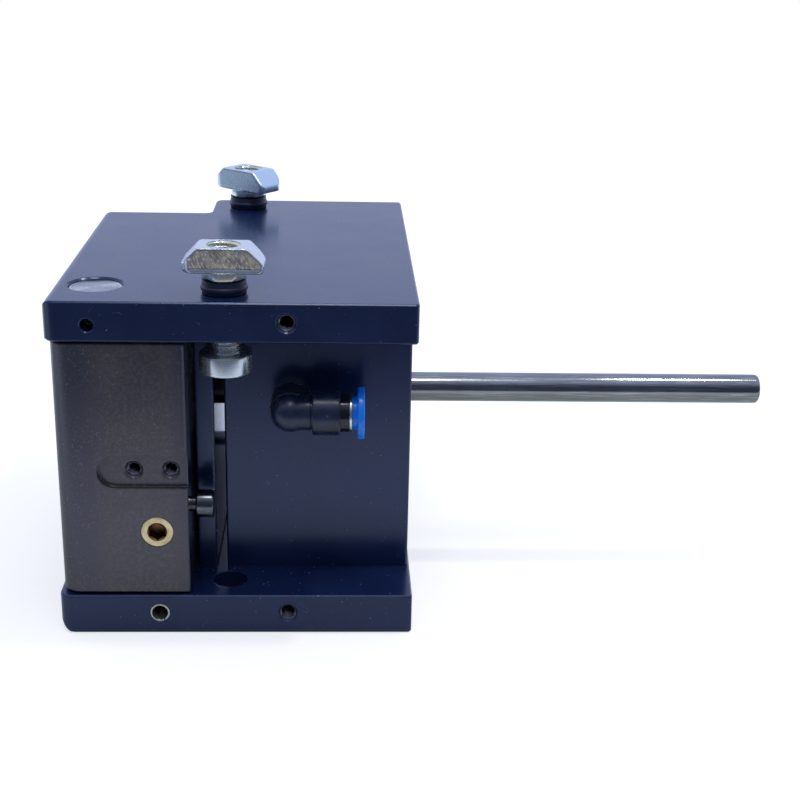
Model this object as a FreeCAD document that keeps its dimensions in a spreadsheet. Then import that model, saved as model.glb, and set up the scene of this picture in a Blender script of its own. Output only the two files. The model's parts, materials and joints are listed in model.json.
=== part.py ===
import FreeCAD, Part
import Sketcher
import math
import os
import re

# Pneumatic stop cylinder: a conveyor stop lever swung by an air piston, in millimetres.
# The origin is the centre of the bottom plate's underside: +X to the rod's free end, +Y to the rear, +Z up.

# Driving sizes
SIZES = {
    # Plates
    "plate_width": 89.2,
    "plate_depth": 116.0,
    "overall_height": 87.5,
    "top_thickness": 10.0,
    "bottom_thickness": 10.5,
    "plate_corner": 3.2,
    "small_corner": 1.0,
    "top_left_round": 2.4,
    "bottom_left_round": 4.2,
    "notch_width": 32.0,
    "notch_depth": 19.0,
    "notch_corner": 2.5,
    "edge_break": 0.4,
    "blind_floor": 2.0,
    # Fits, all radial
    "running_clearance": 0.03,
    "thread_clearance": 0.05,
    "seat_clearance": 0.01,
    # Cylinder body and partition
    "body_width": 47.5,
    "body_side_inset": 0.6,
    "recess_depth": 17.4,
    "partition_gap": 2.6,
    "partition_thickness": 4.9,
    "partition_tongue": 2.0,
    "groove_clearance": 0.05,
    # Stop lever
    "lever_side_inset": 0.9,
    "lever_front_inset": 0.8,
    "lever_rear_inset": 0.8,
    "lever_partition_gap": 0.5,
    "lever_end_gap": 0.5,
    "lever_corner": 4.5,
    "slot_above_floor": 33.5,
    "slot_height": 8.8,
    "slot_depth": 1.5,
    "slot_length": 22.1,
    "slot_hole": 3.5,
    "slot_hole_rim": 0.7,
    "slot_hole_depth": 8.0,
    "slot_hole_inset": 4.2,
    "slot_hole_spacing": 9.0,
    # Stop nose on the lever's tail
    "nose_thickness": 8.0,
    "nose_length": 16.5,
    "nose_corner": 2.0,
    "nose_screw": 5.0,
    "nose_screw_length": 16.0,
    "nose_screw_head": 9.4,
    "nose_screw_socket": 3.0,
    "nose_screw_spacing": 34.0,
    # Pivot
    "pivot_from_left": 10.6,
    "pivot_from_front": 15.5,
    "pivot_diameter": 13.0,
    "pivot_recess": 0.6,
    "pivot_rim": 0.5,
    "bush_wall": 1.5,
    "bush_length": 15.0,
    "bush_flange": 0.4,
    "bush_flange_width": 1.5,
    "set_screw": 3.0,
    "set_screw_length": 4.5,
    "set_screw_socket": 1.5,
    "set_screw_rim": 0.3,
    "set_screw_below_middle": 0.9,
    # Spring return in the lever
    "adjuster_offset": 0.1,
    "adjuster_above_floor": 17.4,
    "adjuster_diameter": 8.0,
    "adjuster_length": 7.0,
    "adjuster_socket": 5.0,
    "adjuster_socket_depth": 4.0,
    "spring_bore": 6.4,
    "spring_outside": 6.0,
    "spring_wire": 1.0,
    "spring_turns": 5.0,
    "spring_seat_gap": 0.1,
    "plunger_length": 8.0,
    "plunger_gap": 0.05,
    "abutment_behind_pivot": 14.0,
    "abutment_diameter": 6.0,
    "abutment_above_axis": 6.0,
    "abutment_room": 0.5,
    "abutment_sweep": 2.9,
    # Stop pin on the lever's side
    "stop_pin_from_front": 8.0,
    "stop_pin_above_floor": 22.1,
    "stop_pin_head": 7.0,
    "stop_pin_head_length": 4.4,
    "stop_pin_neck": 4.0,
    "stop_pin_neck_length": 1.4,
    "stop_pin_wall": 0.5,
    # Piston, rod and end cap
    "rod_diameter": 8.0,
    "rod_from_front": 46.0,
    "rod_below_ceiling": 26.5,
    "rod_protrusion": 98.0,
    "rod_chamfer": 0.8,
    "tip_gap": 0.2,
    "tip_radius": 8.0,
    "pad_diameter": 10.0,
    "pad_thickness": 4.0,
    "bore_diameter": 32.0,
    "body_left_wall": 4.0,
    "stroke_room": 5.6,
    "piston_thickness": 5.0,
    "piston_hub": 16.0,
    "piston_hub_length": 6.0,
    "piston_pin": 3.0,
    "rod_bush_wall": 1.0,
    "rod_bush_inset": 0.2,
    "seal_groove_width": 2.8,
    "seal_groove_depth": 2.6,
    "seal_section": 2.4,
    "cap_gap": 2.5,
    "ring_thickness": 1.2,
    "ring_groove_depth": 1.2,
    "ring_width": 3.5,
    "ring_mouth": 7.0,
    "ring_from_face": 0.7,
    "wiper_diameter": 14.0,
    "wiper_length": 4.0,
    # Port and push-in elbow
    "port_from_body": 17.1,
    "port_above_rod": 6.6,
    "port_thread": 9.7,
    "port_depth": 8.0,
    "port_passage": 4.0,
    "stud_passage": 3.0,
    "collar_diameter": 10.0,
    "collar_length": 2.5,
    "neck_diameter": 6.5,
    "neck_end_gap": 1.0,
    "neck_seal_from_end": 2.6,
    "neck_seal_section": 1.0,
    "elbow_offset": 10.4,
    "elbow_gap": 0.2,
    "barrel_diameter": 10.4,
    "sleeve_start": 5.4,
    "sleeve_diameter": 11.2,
    "sleeve_length": 6.9,
    "mouth_diameter": 9.8,
    "mouth_length": 2.3,
    "tube_bore": 6.1,
    "tube_stop": 3.4,
    "tube_seal_at": 7.4,
    "tube_seal_section": 1.0,
    "metal_ring_length": 0.7,
    "release_hub": 8.4,
    "release_hub_inside": 4.0,
    "release_travel": 1.0,
    "release_gap": 1.3,
    "release_flange": 13.0,
    "release_flange_length": 1.8,
    "ring_bore_clearance": 0.1,
    # Clamp screws and hammer nuts
    "clamp_from_body": 1.3,
    "clamp_from_front": 9.5,
    "clamp_thread": 8.0,
    "clamp_hole": 8.6,
    "clamp_head": 13.0,
    "clamp_head_height": 5.0,
    "clamp_head_drop": 4.95,
    "clamp_socket": 5.0,
    "clamp_socket_depth": 2.8,
    "access_hole": 9.0,
    "sleeve_gap": 0.1,
    "nut_sleeve": 11.0,
    "nut_sleeve_height": 3.4,
    "sleeve_ridge": 0.7,
    "nut_collar": 10.5,
    "nut_collar_height": 2.5,
    "nut_length": 20.2,
    "nut_width": 9.8,
    "nut_height": 5.8,
    "nut_foot_taper": 0.7,
    "nut_foot_height": 1.7,
    "nut_top_length": 12.2,
    "nut_corner": 3.5,
    "screw_below_nut_top": 3.0,
    "front_nut_angle": 1.5,
    "rear_nut_angle": 39.0,
    # Tie screws, roll pin and tapped holes
    "tie_inset": 7.5,
    "tie_thread": 6.0,
    "tie_clearance": 0.3,
    "tie_head": 10.0,
    "tie_head_height": 6.0,
    "tie_head_recess": 0.5,
    "tie_socket": 5.0,
    "tie_socket_depth": 3.0,
    "tie_engagement": 8.0,
    "roll_pin": 5.0,
    "roll_pin_wall": 0.5,
    "roll_pin_height": 5.6,
    "roll_pin_recess": 0.2,
    "accessory_from_left": 57.6,
    "accessory_hole": 4.2,
    "accessory_depth": 12.0,
    "accessory_rim": 0.5,
}

doc = FreeCAD.newDocument("StopCylinder")
sheet = doc.addObject("Spreadsheet::Sheet", "Sizes")
for row, (alias, value) in enumerate(SIZES.items(), start=1):
    sheet.set(f"A{row}", alias.replace("_", " "))
    sheet.set(f"B{row}", str(value))
    sheet.setAlias(f"B{row}", alias)
doc.recompute()

# Places worked out from the sizes, as formulas
LEFT = "(-plate_width / 2)"
RIGHT = "(plate_width / 2)"
FRONT = "(-plate_depth / 2)"
REAR = "(plate_depth / 2)"
FLOOR = "bottom_thickness"
CEILING = "(overall_height - top_thickness)"
BODY_RIGHT = f"({RIGHT} - body_side_inset)"
BODY_LEFT = f"({BODY_RIGHT} - body_width)"
BODY_FRONT = f"({FRONT} + recess_depth)"
BODY_REAR = f"({REAR} - recess_depth)"
PARTITION_RIGHT = f"({BODY_LEFT} - partition_gap)"
PARTITION_LEFT = f"({PARTITION_RIGHT} - partition_thickness)"
LEVER_LEFT = f"({LEFT} + lever_side_inset)"
LEVER_RIGHT = f"({PARTITION_LEFT} - lever_partition_gap)"
LEVER_FRONT = f"({FRONT} + lever_front_inset)"
LEVER_REAR = f"({REAR} - lever_rear_inset)"
LEVER_BOTTOM = f"({FLOOR} + lever_end_gap)"
LEVER_TOP = f"({CEILING} - lever_end_gap)"
LEVER_HEIGHT = f"({LEVER_TOP} - {LEVER_BOTTOM})"
NOSE_FRONT = f"({LEVER_REAR} - nose_length)"
NOSE_RIGHT = f"({LEVER_LEFT} + nose_thickness)"
PIVOT_X = f"({LEFT} + pivot_from_left)"
PIVOT_Y = f"({FRONT} + pivot_from_front)"
PLATE_MID = f"({CEILING} + top_thickness / 2)"
SET_SCREW_Z = f"({PLATE_MID} - set_screw_below_middle)"
ADJUSTER_X = f"(({PIVOT_X} + pivot_diameter / 2 + {LEVER_RIGHT}) / 2 + adjuster_offset)"
ADJUSTER_Z = f"({FLOOR} + adjuster_above_floor)"
ADJUSTER_END = f"({LEVER_FRONT} + adjuster_length)"
ABUTMENT_Y = f"({PIVOT_Y} + abutment_behind_pivot)"
ABUTMENT_TOP = f"({ADJUSTER_Z} + abutment_above_axis)"
PLUNGER_REAR = f"({ABUTMENT_Y} - abutment_diameter / 2 - plunger_gap)"
PLUNGER_FRONT = f"({PLUNGER_REAR} - plunger_length)"
STOP_PIN_Y = f"({FRONT} + stop_pin_from_front)"
STOP_PIN_Z = f"({FLOOR} + stop_pin_above_floor)"
STOP_PIN_START = f"({ADJUSTER_X} + adjuster_diameter / 2 + stop_pin_wall)"
STOP_PIN_SEAT = f"({LEVER_RIGHT} - {STOP_PIN_START})"
ROD_Y = f"({FRONT} + rod_from_front)"
ROD_Z = f"({CEILING} - rod_below_ceiling)"
ROD_TIP = f"({LEVER_RIGHT} + tip_gap)"
ROD_END = f"({BODY_RIGHT} + rod_protrusion)"
BORE_START = f"({BODY_LEFT} + body_left_wall)"
PISTON_LEFT = f"({BORE_START} + stroke_room)"
PISTON_RIGHT = f"({PISTON_LEFT} + piston_thickness)"
HUB_RIGHT = f"({PISTON_RIGHT} + piston_hub_length)"
HUB_MID = f"({PISTON_RIGHT} + piston_hub_length / 2)"
CAP_LEFT = f"({HUB_RIGHT} + cap_gap)"
CAP_RIGHT = f"({BODY_RIGHT} - ring_from_face - ring_thickness)"
WIPER_LEFT = f"({CAP_RIGHT} - wiper_length)"
ROD_HOLE = "(rod_diameter + 2 * running_clearance)"
BUSH_OUTSIDE = f"({ROD_HOLE} + 2 * rod_bush_wall)"
BUSH_SEAT = f"({BUSH_OUTSIDE} + 2 * seat_clearance)"
PORT_X = f"({BODY_LEFT} + port_from_body)"
PORT_Z = f"({ROD_Z} + port_above_rod)"
PORT_BOTTOM = f"({BODY_FRONT} + port_depth)"
ARM_Y = f"({BODY_FRONT} - elbow_offset)"
COLLAR_FRONT = f"({BODY_FRONT} - collar_length)"
SLEEVE_X = f"({PORT_X} + sleeve_start)"
MOUTH_X = f"({SLEEVE_X} + sleeve_length)"
MOUTH_END = f"({MOUTH_X} + mouth_length)"
METAL_RING_END = f"({MOUTH_END} + metal_ring_length)"
FLANGE_X = f"({METAL_RING_END} + release_gap)"
RELEASE_START = f"({MOUTH_END} - release_hub_inside)"
CLAMP_X = f"({BODY_LEFT} + clamp_from_body)"
CLAMP_HEAD_TOP = f"({CEILING} - clamp_head_drop)"
CLAMP_HEAD_BOTTOM = f"({CLAMP_HEAD_TOP} - clamp_head_height)"
SLEEVE_BOTTOM = "(overall_height + sleeve_gap)"
NUT_BOTTOM = f"({SLEEVE_BOTTOM} + nut_sleeve_height)"
NUT_TOP = f"({NUT_BOTTOM} + nut_collar_height + nut_height)"
SCREW_TOP = f"({NUT_TOP} - screw_below_nut_top)"
ACCESSORY_X = f"({LEFT} + accessory_from_left)"
CLAMP_Y = {"front": f"({FRONT} + clamp_from_front)", "rear": f"({REAR} - clamp_from_front)"}
TIE_X = (f"({BODY_LEFT} + tie_inset)", f"({BODY_RIGHT} - tie_inset)")
TIE_Y = (f"({BODY_FRONT} + tie_inset)", f"({BODY_REAR} - tie_inset)")
TIE_PLACES = [(x, y) for y in TIE_Y for x in TIE_X]
TIE_HEAD_TOP = "(tie_head_recess + tie_head_height)"
TIE_TOP = f"({CEILING} + tie_engagement)"

# Directions of turned pieces, as turns of the Z axis
TURNS = {
    "X": FreeCAD.Rotation(FreeCAD.Vector(0, 1, 0), 90),
    "-X": FreeCAD.Rotation(FreeCAD.Vector(0, 1, 0), -90),
    "Y": FreeCAD.Rotation(FreeCAD.Vector(1, 0, 0), -90),
    "Z": FreeCAD.Rotation(),
}
WORD = re.compile(r"[a-z][a-z_]*")
nodes = {}


def formula(text):
    """Point each size's name in a formula at its spreadsheet cell."""
    return WORD.sub(lambda word: f"Sizes.{word[0]}" if word[0] in SIZES else word[0], text)


def bind(feature, **formulas):
    for prop, text in formulas.items():
        feature.setExpression(prop, formula(text))


def place(feature, at, along="Z"):
    feature.Placement = FreeCAD.Placement(FreeCAD.Vector(), TURNS[along])
    for axis, text in zip("xyz", at):
        feature.setExpression(f"Placement.Base.{axis}", formula(text))
    return feature


def shifted(at, along, distance):
    """The point `distance` further along an axis."""
    return [f"({text} + {distance})" if axis == along else text for axis, text in zip("XYZ", at)]


def cylinder(name, diameter, length, at, along="Z"):
    feature = doc.addObject("Part::Cylinder", name)
    bind(feature, Radius=f"({diameter}) / 2", Height=length)
    return place(feature, at, along)


def cone(name, start, end, length, at, along="Z"):
    feature = doc.addObject("Part::Cone", name)
    bind(feature, Radius1=f"({start}) / 2", Radius2=f"({end}) / 2", Height=length)
    return place(feature, at, along)


def torus(name, ring_diameter, section, at, along="Z"):
    feature = doc.addObject("Part::Torus", name)
    bind(feature, Radius1=f"({ring_diameter}) / 2", Radius2=f"({section}) / 2")
    return place(feature, at, along)


def hexagon(name, across_flats, length, at, along="Z"):
    feature = doc.addObject("Part::Prism", name)
    feature.Polygon = 6
    bind(feature, Circumradius=f"({across_flats}) / sqrt(3)", Height=length)
    return place(feature, at, along)


def box(name, low, high):
    feature = doc.addObject("Part::Box", name)
    for prop, start, end in zip(("Length", "Width", "Height"), low, high):
        feature.setExpression(prop, formula(f"{end} - {start}"))
    return place(feature, low)


def fuse(name, *shapes):
    if len(shapes) == 1:
        return shapes[0]
    feature = doc.addObject("Part::MultiFuse", name)
    feature.Shapes = list(shapes)
    feature.Refine = True
    return feature


def cut(name, base, *tools):
    feature = doc.addObject("Part::Cut", name)
    feature.Base = base
    feature.Tool = fuse(f"{name}_cuts", *tools)
    feature.Refine = True
    return feature


def turned(name, steps, at, along="Z"):
    """Coaxial cylinders end to end, one for each (diameter, length)."""
    pieces = []
    for number, (diameter, length) in enumerate(steps):
        pieces.append(cylinder(f"{name}_step{number}", diameter, length, at, along))
        at = shifted(at, along, length)
    return fuse(f"{name}_turned", *pieces)


def node(name, feature):
    """Keep a finished feature as the sub-part `name`."""
    feature.Label = name
    nodes[name] = feature
    return feature


def padded(name, corners, thickness, at, along="Z"):
    """A body padded from an outline whose corners are dimensioned from the sketch's origin."""
    body = doc.addObject("PartDesign::Body", name)
    plane = next(item for item in body.Origin.OriginFeatures if item.Role == "XY_Plane")
    sketch = body.newObject("Sketcher::SketchObject", f"{name}_outline")
    sketch.AttachmentSupport = [(plane, "")]
    sketch.MapMode = "FlatFace"
    count = len(corners)
    turns = [2 * math.pi * number / count for number in range(count)]
    seeds = [FreeCAD.Vector(math.cos(turn), math.sin(turn), 0) for turn in turns]
    sketch.addGeometry([Part.LineSegment(seeds[i], seeds[(i + 1) % count]) for i in range(count)])
    for i in range(count):
        sketch.addConstraint(Sketcher.Constraint("Coincident", i, 2, (i + 1) % count, 1))
    for i, corner in enumerate(corners):
        for kind, seed, text in zip(("DistanceX", "DistanceY"), seeds[i], corner):
            number = sketch.addConstraint(Sketcher.Constraint(kind, -1, 1, i, 1, seed))
            sketch.setExpression(f"Constraints[{number}]", formula(text))
    pad = body.newObject("PartDesign::Pad", f"{name}_pad")
    pad.Profile = sketch
    bind(pad, Length=thickness)
    place(body, at, along)
    doc.recompute()
    return body


def rectangle(left, front, right, rear):
    return [(left, front), (right, front), (right, rear), (left, rear)]


def is_upright(edge):
    return abs(edge.tangentAt(edge.FirstParameter).z) > 0.99


def is_flat(edge):
    """True for an edge that lies in one level, such as the rim of a plate."""
    return edge.BoundBox.ZLength < 0.001


def dress(body, kind, size, test):
    """Fillet or chamfer the edges of a body that pass a test."""
    base = body.Tip
    edges = [f"Edge{number}" for number, edge in enumerate(base.Shape.Edges, start=1) if test(edge)]
    feature = body.newObject(f"PartDesign::{kind}", f"{body.Name}_{kind}")
    feature.Base = (base, edges)
    bind(feature, **{"Radius" if kind == "Fillet" else "Size": size})
    doc.recompute()


def at_corner(body, side_x, side_y):
    """A test for the upright edge at one corner of a body's box: -1 is low, 1 is high."""
    bounds = body.Tip.Shape.BoundBox
    x = bounds.XMin if side_x < 0 else bounds.XMax
    y = bounds.YMin if side_y < 0 else bounds.YMax

    def test(edge):
        start = edge.Vertexes[0].Point
        return is_upright(edge) and math.hypot(start.x - x, start.y - y) < 0.001

    return test


def common(name, base, tool):
    feature = doc.addObject("Part::Common", name)
    feature.Base = base
    feature.Tool = tool
    return feature


def plate_section(name, thickness, bottom, round_size, round_side):
    """The plate as seen from the front, with the one long edge at its left rounded."""
    corners = rectangle(LEFT, bottom, RIGHT, f"({bottom} + {thickness})")
    section = padded(f"{name}_section", corners, "plate_depth", ("0", REAR, "0"))
    section.Placement.Rotation = FreeCAD.Rotation(FreeCAD.Vector(1, 0, 0), 90)
    dress(section, "Fillet", round_size, at_corner(section, -1, round_side))
    return section


def plate_blank(name, thickness, bottom, round_size, round_side):
    """The outline that both plates share, with the notch at its rear left, within the plate's section."""
    notch_x = f"({LEFT} + notch_width)"
    notch_y = f"({REAR} - notch_depth)"
    corners = [
        (LEFT, FRONT), (RIGHT, FRONT), (RIGHT, REAR),
        (notch_x, REAR), (notch_x, notch_y), (LEFT, notch_y),
    ]
    body = padded(f"{name}_plan", corners, thickness, ("0", "0", bottom))
    front_left = at_corner(body, -1, -1)
    right = [at_corner(body, 1, -1), at_corner(body, 1, 1)]

    def at_right(edge):
        return any(test(edge) for test in right)

    def at_notch(edge):
        return is_upright(edge) and not front_left(edge) and not at_right(edge)

    dress(body, "Fillet", "notch_corner", at_notch)
    dress(body, "Fillet", "plate_corner", front_left)
    dress(body, "Fillet", "small_corner", at_right)
    dress(body, "Chamfer", "edge_break", is_flat)
    return common(name, body, plate_section(name, thickness, bottom, round_size, round_side))


def partition_groove(name, bottom, top):
    spare = "groove_clearance"
    low = (f"({PARTITION_LEFT} - {spare})", f"({BODY_FRONT} - {spare})", bottom)
    high = (f"({PARTITION_RIGHT} + {spare})", f"({BODY_REAR} + {spare})", top)
    return box(name, low, high)


def front_edge_hole(name, diameter, depth, x, z, rim):
    """A hole in a plate's front edge, with its mouth opened out by a rim."""
    at = (x, FRONT, z)
    mouth = cone(f"{name}_mouth", f"{diameter} + 2 * {rim}", diameter, rim, at, "Y")
    return [cylinder(name, diameter, depth, at, "Y"), mouth]


def accessory_hole(name, z):
    return front_edge_hole(name, "accessory_hole", "accessory_depth", ACCESSORY_X, z, "accessory_rim")


# Top plate
def make_top_plate():
    hole = "(pivot_diameter + 2 * seat_clearance)"
    tools = [cylinder("pivot_hole", hole, "top_thickness", (PIVOT_X, PIVOT_Y, CEILING))]
    rim_at = (PIVOT_X, PIVOT_Y, "(overall_height - pivot_rim)")
    tools.append(cone("pivot_rim_cut", hole, f"{hole} + 2 * pivot_rim", "pivot_rim", rim_at))
    for side, y in CLAMP_Y.items():
        tools.append(cylinder(f"{side}_clamp_hole", "clamp_hole", "top_thickness", (CLAMP_X, y, CEILING)))
    for number, (x, y) in enumerate(TIE_PLACES, start=1):
        thread = "tie_thread + 2 * thread_clearance"
        depth = "tie_engagement + thread_clearance"
        tools.append(cylinder(f"tie_hole_{number}", thread, depth, (x, y, CEILING)))
    groove_top = f"({CEILING} + partition_tongue + groove_clearance)"
    tools.append(partition_groove("top_groove", CEILING, groove_top))
    set_hole = "set_screw + 2 * thread_clearance"
    depth = "pivot_from_front"
    tools += front_edge_hole("set_screw_hole", set_hole, depth, PIVOT_X, SET_SCREW_Z, "set_screw_rim")
    tools += accessory_hole("top_tapped", PLATE_MID)
    blank = plate_blank("top_blank", "top_thickness", CEILING, "top_left_round", 1)
    node("top_plate", cut("top_plate", blank, *tools))


# Bottom plate
def make_bottom_plate():
    hole = "pivot_diameter + 2 * seat_clearance"
    tools = [cylinder("pivot_seat", hole, "bottom_thickness", (PIVOT_X, PIVOT_Y, "blind_floor"))]
    abutment = "abutment_diameter + 2 * seat_clearance"
    foot = (ADJUSTER_X, ABUTMENT_Y, "blind_floor")
    tools.append(cylinder("abutment_seat", abutment, "bottom_thickness", foot))
    for side, y in CLAMP_Y.items():
        tools.append(cylinder(f"{side}_access", "access_hole", "bottom_thickness", (CLAMP_X, y, "0")))
    for number, (x, y) in enumerate(TIE_PLACES, start=1):
        shank = "tie_thread + 2 * tie_clearance"
        head = "tie_head + 2 * tie_clearance"
        tools.append(cylinder(f"tie_way_{number}", shank, "bottom_thickness", (x, y, "0")))
        tools.append(cylinder(f"tie_recess_{number}", head, TIE_HEAD_TOP, (x, y, "0")))
    groove_low = f"({FLOOR} - partition_tongue - groove_clearance)"
    tools.append(partition_groove("bottom_groove", groove_low, FLOOR))
    pin_hole = "roll_pin + 2 * seat_clearance"
    reach = f"{ABUTMENT_Y} - {FRONT}"
    height = "roll_pin_height"
    tools += front_edge_hole("roll_pin_hole", pin_hole, reach, ADJUSTER_X, height, "roll_pin_recess")
    tools += accessory_hole("low_tapped", height)
    blank = plate_blank("bottom_blank", "bottom_thickness", "0", "bottom_left_round", -1)
    node("bottom_plate", cut("bottom_plate", blank, *tools))


# Cylinder body, with the bore open to the right and the port at the front
def make_cylinder_body():
    corners = rectangle(BODY_LEFT, BODY_FRONT, BODY_RIGHT, BODY_REAR)
    blank = padded("body_blank", corners, f"{CEILING} - {FLOOR}", ("0", "0", FLOOR))
    dress(blank, "Chamfer", "edge_break", is_upright)
    bore_length = f"{BODY_RIGHT} - {BORE_START}"
    tools = [cylinder("bore", "bore_diameter", bore_length, (BORE_START, ROD_Y, ROD_Z), "X")]
    tools.append(cylinder("rod_bush_hole", BUSH_SEAT, "body_left_wall", (BODY_LEFT, ROD_Y, ROD_Z), "X"))
    groove = "bore_diameter + 2 * ring_groove_depth"
    tools.append(cylinder("ring_groove", groove, "ring_thickness", (CAP_RIGHT, ROD_Y, ROD_Z), "X"))
    tools.append(cylinder("port", "port_thread", "port_depth", (PORT_X, BODY_FRONT, PORT_Z), "Y"))
    passage = f"{ROD_Y} - {PORT_BOTTOM}"
    tools.append(cylinder("port_way", "port_passage", passage, (PORT_X, PORT_BOTTOM, PORT_Z), "Y"))
    for number, (x, y) in enumerate(TIE_PLACES, start=1):
        shank = "tie_thread + 2 * tie_clearance"
        tools.append(cylinder(f"tie_bore_{number}", shank, f"{CEILING} - {FLOOR}", (x, y, FLOOR)))
    node("cylinder_body", cut("cylinder_body", blank, *tools))


# Partition plate, its edges held in grooves of both plates
def make_partition():
    low_z = f"({FLOOR} - partition_tongue)"
    height = f"{CEILING} - {FLOOR} + 2 * partition_tongue"
    corners = rectangle(PARTITION_LEFT, BODY_FRONT, PARTITION_RIGHT, BODY_REAR)
    blank = padded("partition_blank", corners, height, ("0", "0", low_z))
    dress(blank, "Chamfer", "edge_break", is_upright)
    hole = cylinder("partition_hole", BUSH_SEAT, "partition_thickness", (PARTITION_LEFT, ROD_Y, ROD_Z), "X")
    node("partition_plate", cut("partition_plate", blank, hole))


# Tie screws, which come up through the bottom plate and the body into the top plate
def make_tie_screws():
    for number, (x, y) in enumerate(TIE_PLACES, start=1):
        name = f"tie_screw_{number}"
        steps = [("tie_head", "tie_head_height"), ("tie_thread", f"({TIE_TOP} - {TIE_HEAD_TOP})")]
        blank = turned(name, steps, (x, y, "tie_head_recess"))
        socket = hexagon(f"{name}_socket", "tie_socket", "tie_socket_depth", (x, y, "tie_head_recess"))
        node(name, cut(name, blank, socket))


# Pivot pin and the set screw that locks it
def make_pivot():
    length = "(overall_height - pivot_recess - blind_floor)"
    node("pivot_pin", cylinder("pivot_pin", "pivot_diameter", length, (PIVOT_X, PIVOT_Y, "blind_floor")))
    start = (PIVOT_X, f"({PIVOT_Y} - pivot_diameter / 2 - set_screw_length)", SET_SCREW_Z)
    blank = cylinder("set_screw_blank", "set_screw", "set_screw_length", start, "Y")
    socket = hexagon("set_screw_hex", "set_screw_socket", "set_screw_length / 2", start, "Y")
    node("pivot_set_screw", cut("pivot_set_screw", blank, socket))
    bush_bore = "(pivot_diameter + 2 * running_clearance)"
    outside = f"({bush_bore} + 2 * bush_wall)"
    flange = f"({outside} + 2 * bush_flange_width)"
    low_flange = f"({LEVER_BOTTOM} - bush_flange)"
    places = {"lower": (low_flange, [(flange, "bush_flange"), (outside, "bush_length")]),
              "upper": (f"({LEVER_TOP} - bush_length)", [(outside, "bush_length"), (flange, "bush_flange")])}
    for side, (bottom, steps) in places.items():
        name = f"pivot_bush_{side}"
        blank = turned(name, steps, (PIVOT_X, PIVOT_Y, bottom))
        hole = cylinder(f"{name}_hole", bush_bore, "bush_length + bush_flange", (PIVOT_X, PIVOT_Y, bottom))
        node(name, cut(name, blank, hole))


# Stop lever: an outline with a seat for the nose at its tail, then the cuts
def lever_blank():
    corners = [
        (LEVER_LEFT, LEVER_FRONT), (LEVER_RIGHT, LEVER_FRONT), (LEVER_RIGHT, LEVER_REAR),
        (NOSE_RIGHT, LEVER_REAR), (NOSE_RIGHT, NOSE_FRONT), (LEVER_LEFT, NOSE_FRONT),
    ]
    body = padded("lever_blank", corners, LEVER_HEIGHT, ("0", "0", LEVER_BOTTOM))
    front_right = at_corner(body, 1, -1)
    dress(body, "Fillet", "lever_corner", at_corner(body, -1, -1))
    dress(body, "Chamfer", "edge_break", lambda edge: is_flat(edge) or front_right(edge))
    return body


def slot_cuts():
    """The open slot in the front face and its two tapped holes."""
    middle = f"({FLOOR} + slot_above_floor)"
    low = (f"({LEVER_RIGHT} - slot_length + slot_height / 2)", LEVER_FRONT, f"({middle} - slot_height / 2)")
    high = (LEVER_RIGHT, f"({LEVER_FRONT} + slot_depth)", f"({middle} + slot_height / 2)")
    tools = [box("slot", low, high)]
    tools.append(cylinder("slot_end", "slot_height", "slot_depth", (low[0], LEVER_FRONT, middle), "Y"))
    for number in range(2):
        x = f"({LEVER_RIGHT} - slot_hole_inset - {number} * slot_hole_spacing)"
        depth = "slot_depth + slot_hole_depth"
        tools.append(cylinder(f"slot_hole_{number}", "slot_hole", depth, (x, LEVER_FRONT, middle), "Y"))
        mouth = "slot_hole + 2 * slot_hole_rim"
        mouth_at = (x, f"({LEVER_FRONT} + slot_depth)", middle)
        tools.append(cone(f"slot_mouth_{number}", mouth, "slot_hole", "slot_hole_rim", mouth_at, "Y"))
    return tools


def pivot_cuts():
    seat = "pivot_diameter + 2 * running_clearance + 2 * bush_wall + 2 * seat_clearance"
    relief = "pivot_diameter + bush_wall"
    return [
        cylinder("lever_relief", relief, LEVER_HEIGHT, (PIVOT_X, PIVOT_Y, LEVER_BOTTOM)),
        cylinder("low_bush_seat", seat, "bush_length", (PIVOT_X, PIVOT_Y, LEVER_BOTTOM)),
        cylinder("top_bush_seat", seat, "bush_length", (PIVOT_X, PIVOT_Y, f"({LEVER_TOP} - bush_length)")),
    ]


def return_cuts():
    """The adjuster's thread, the spring's bore and the pocket that the abutment pin stands in."""
    thread = "adjuster_diameter + 2 * thread_clearance"
    side = "(abutment_diameter / 2 + abutment_room)"
    low = (f"({ADJUSTER_X} - {side})", f"({ABUTMENT_Y} - {side} - abutment_sweep)", LEVER_BOTTOM)
    top = f"({ABUTMENT_TOP} + abutment_room)"
    high = (f"({ADJUSTER_X} + {side} + abutment_sweep)", f"({ABUTMENT_Y} + {side})", top)
    mouth = (ADJUSTER_X, LEVER_FRONT, ADJUSTER_Z)
    return [
        cylinder("adjuster_thread", thread, "adjuster_length", mouth, "Y"),
        cylinder("spring_way", "spring_bore", f"{ABUTMENT_Y} - {LEVER_FRONT}", mouth, "Y"),
        box("abutment_pocket", low, high),
    ]


def nose_screw_heights():
    middle = f"(({LEVER_BOTTOM} + {LEVER_TOP}) / 2)"
    return {"lower": f"({middle} - nose_screw_spacing / 2)", "upper": f"({middle} + nose_screw_spacing / 2)"}


NOSE_SCREW_Y = f"({NOSE_FRONT} + nose_length / 2)"


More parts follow.
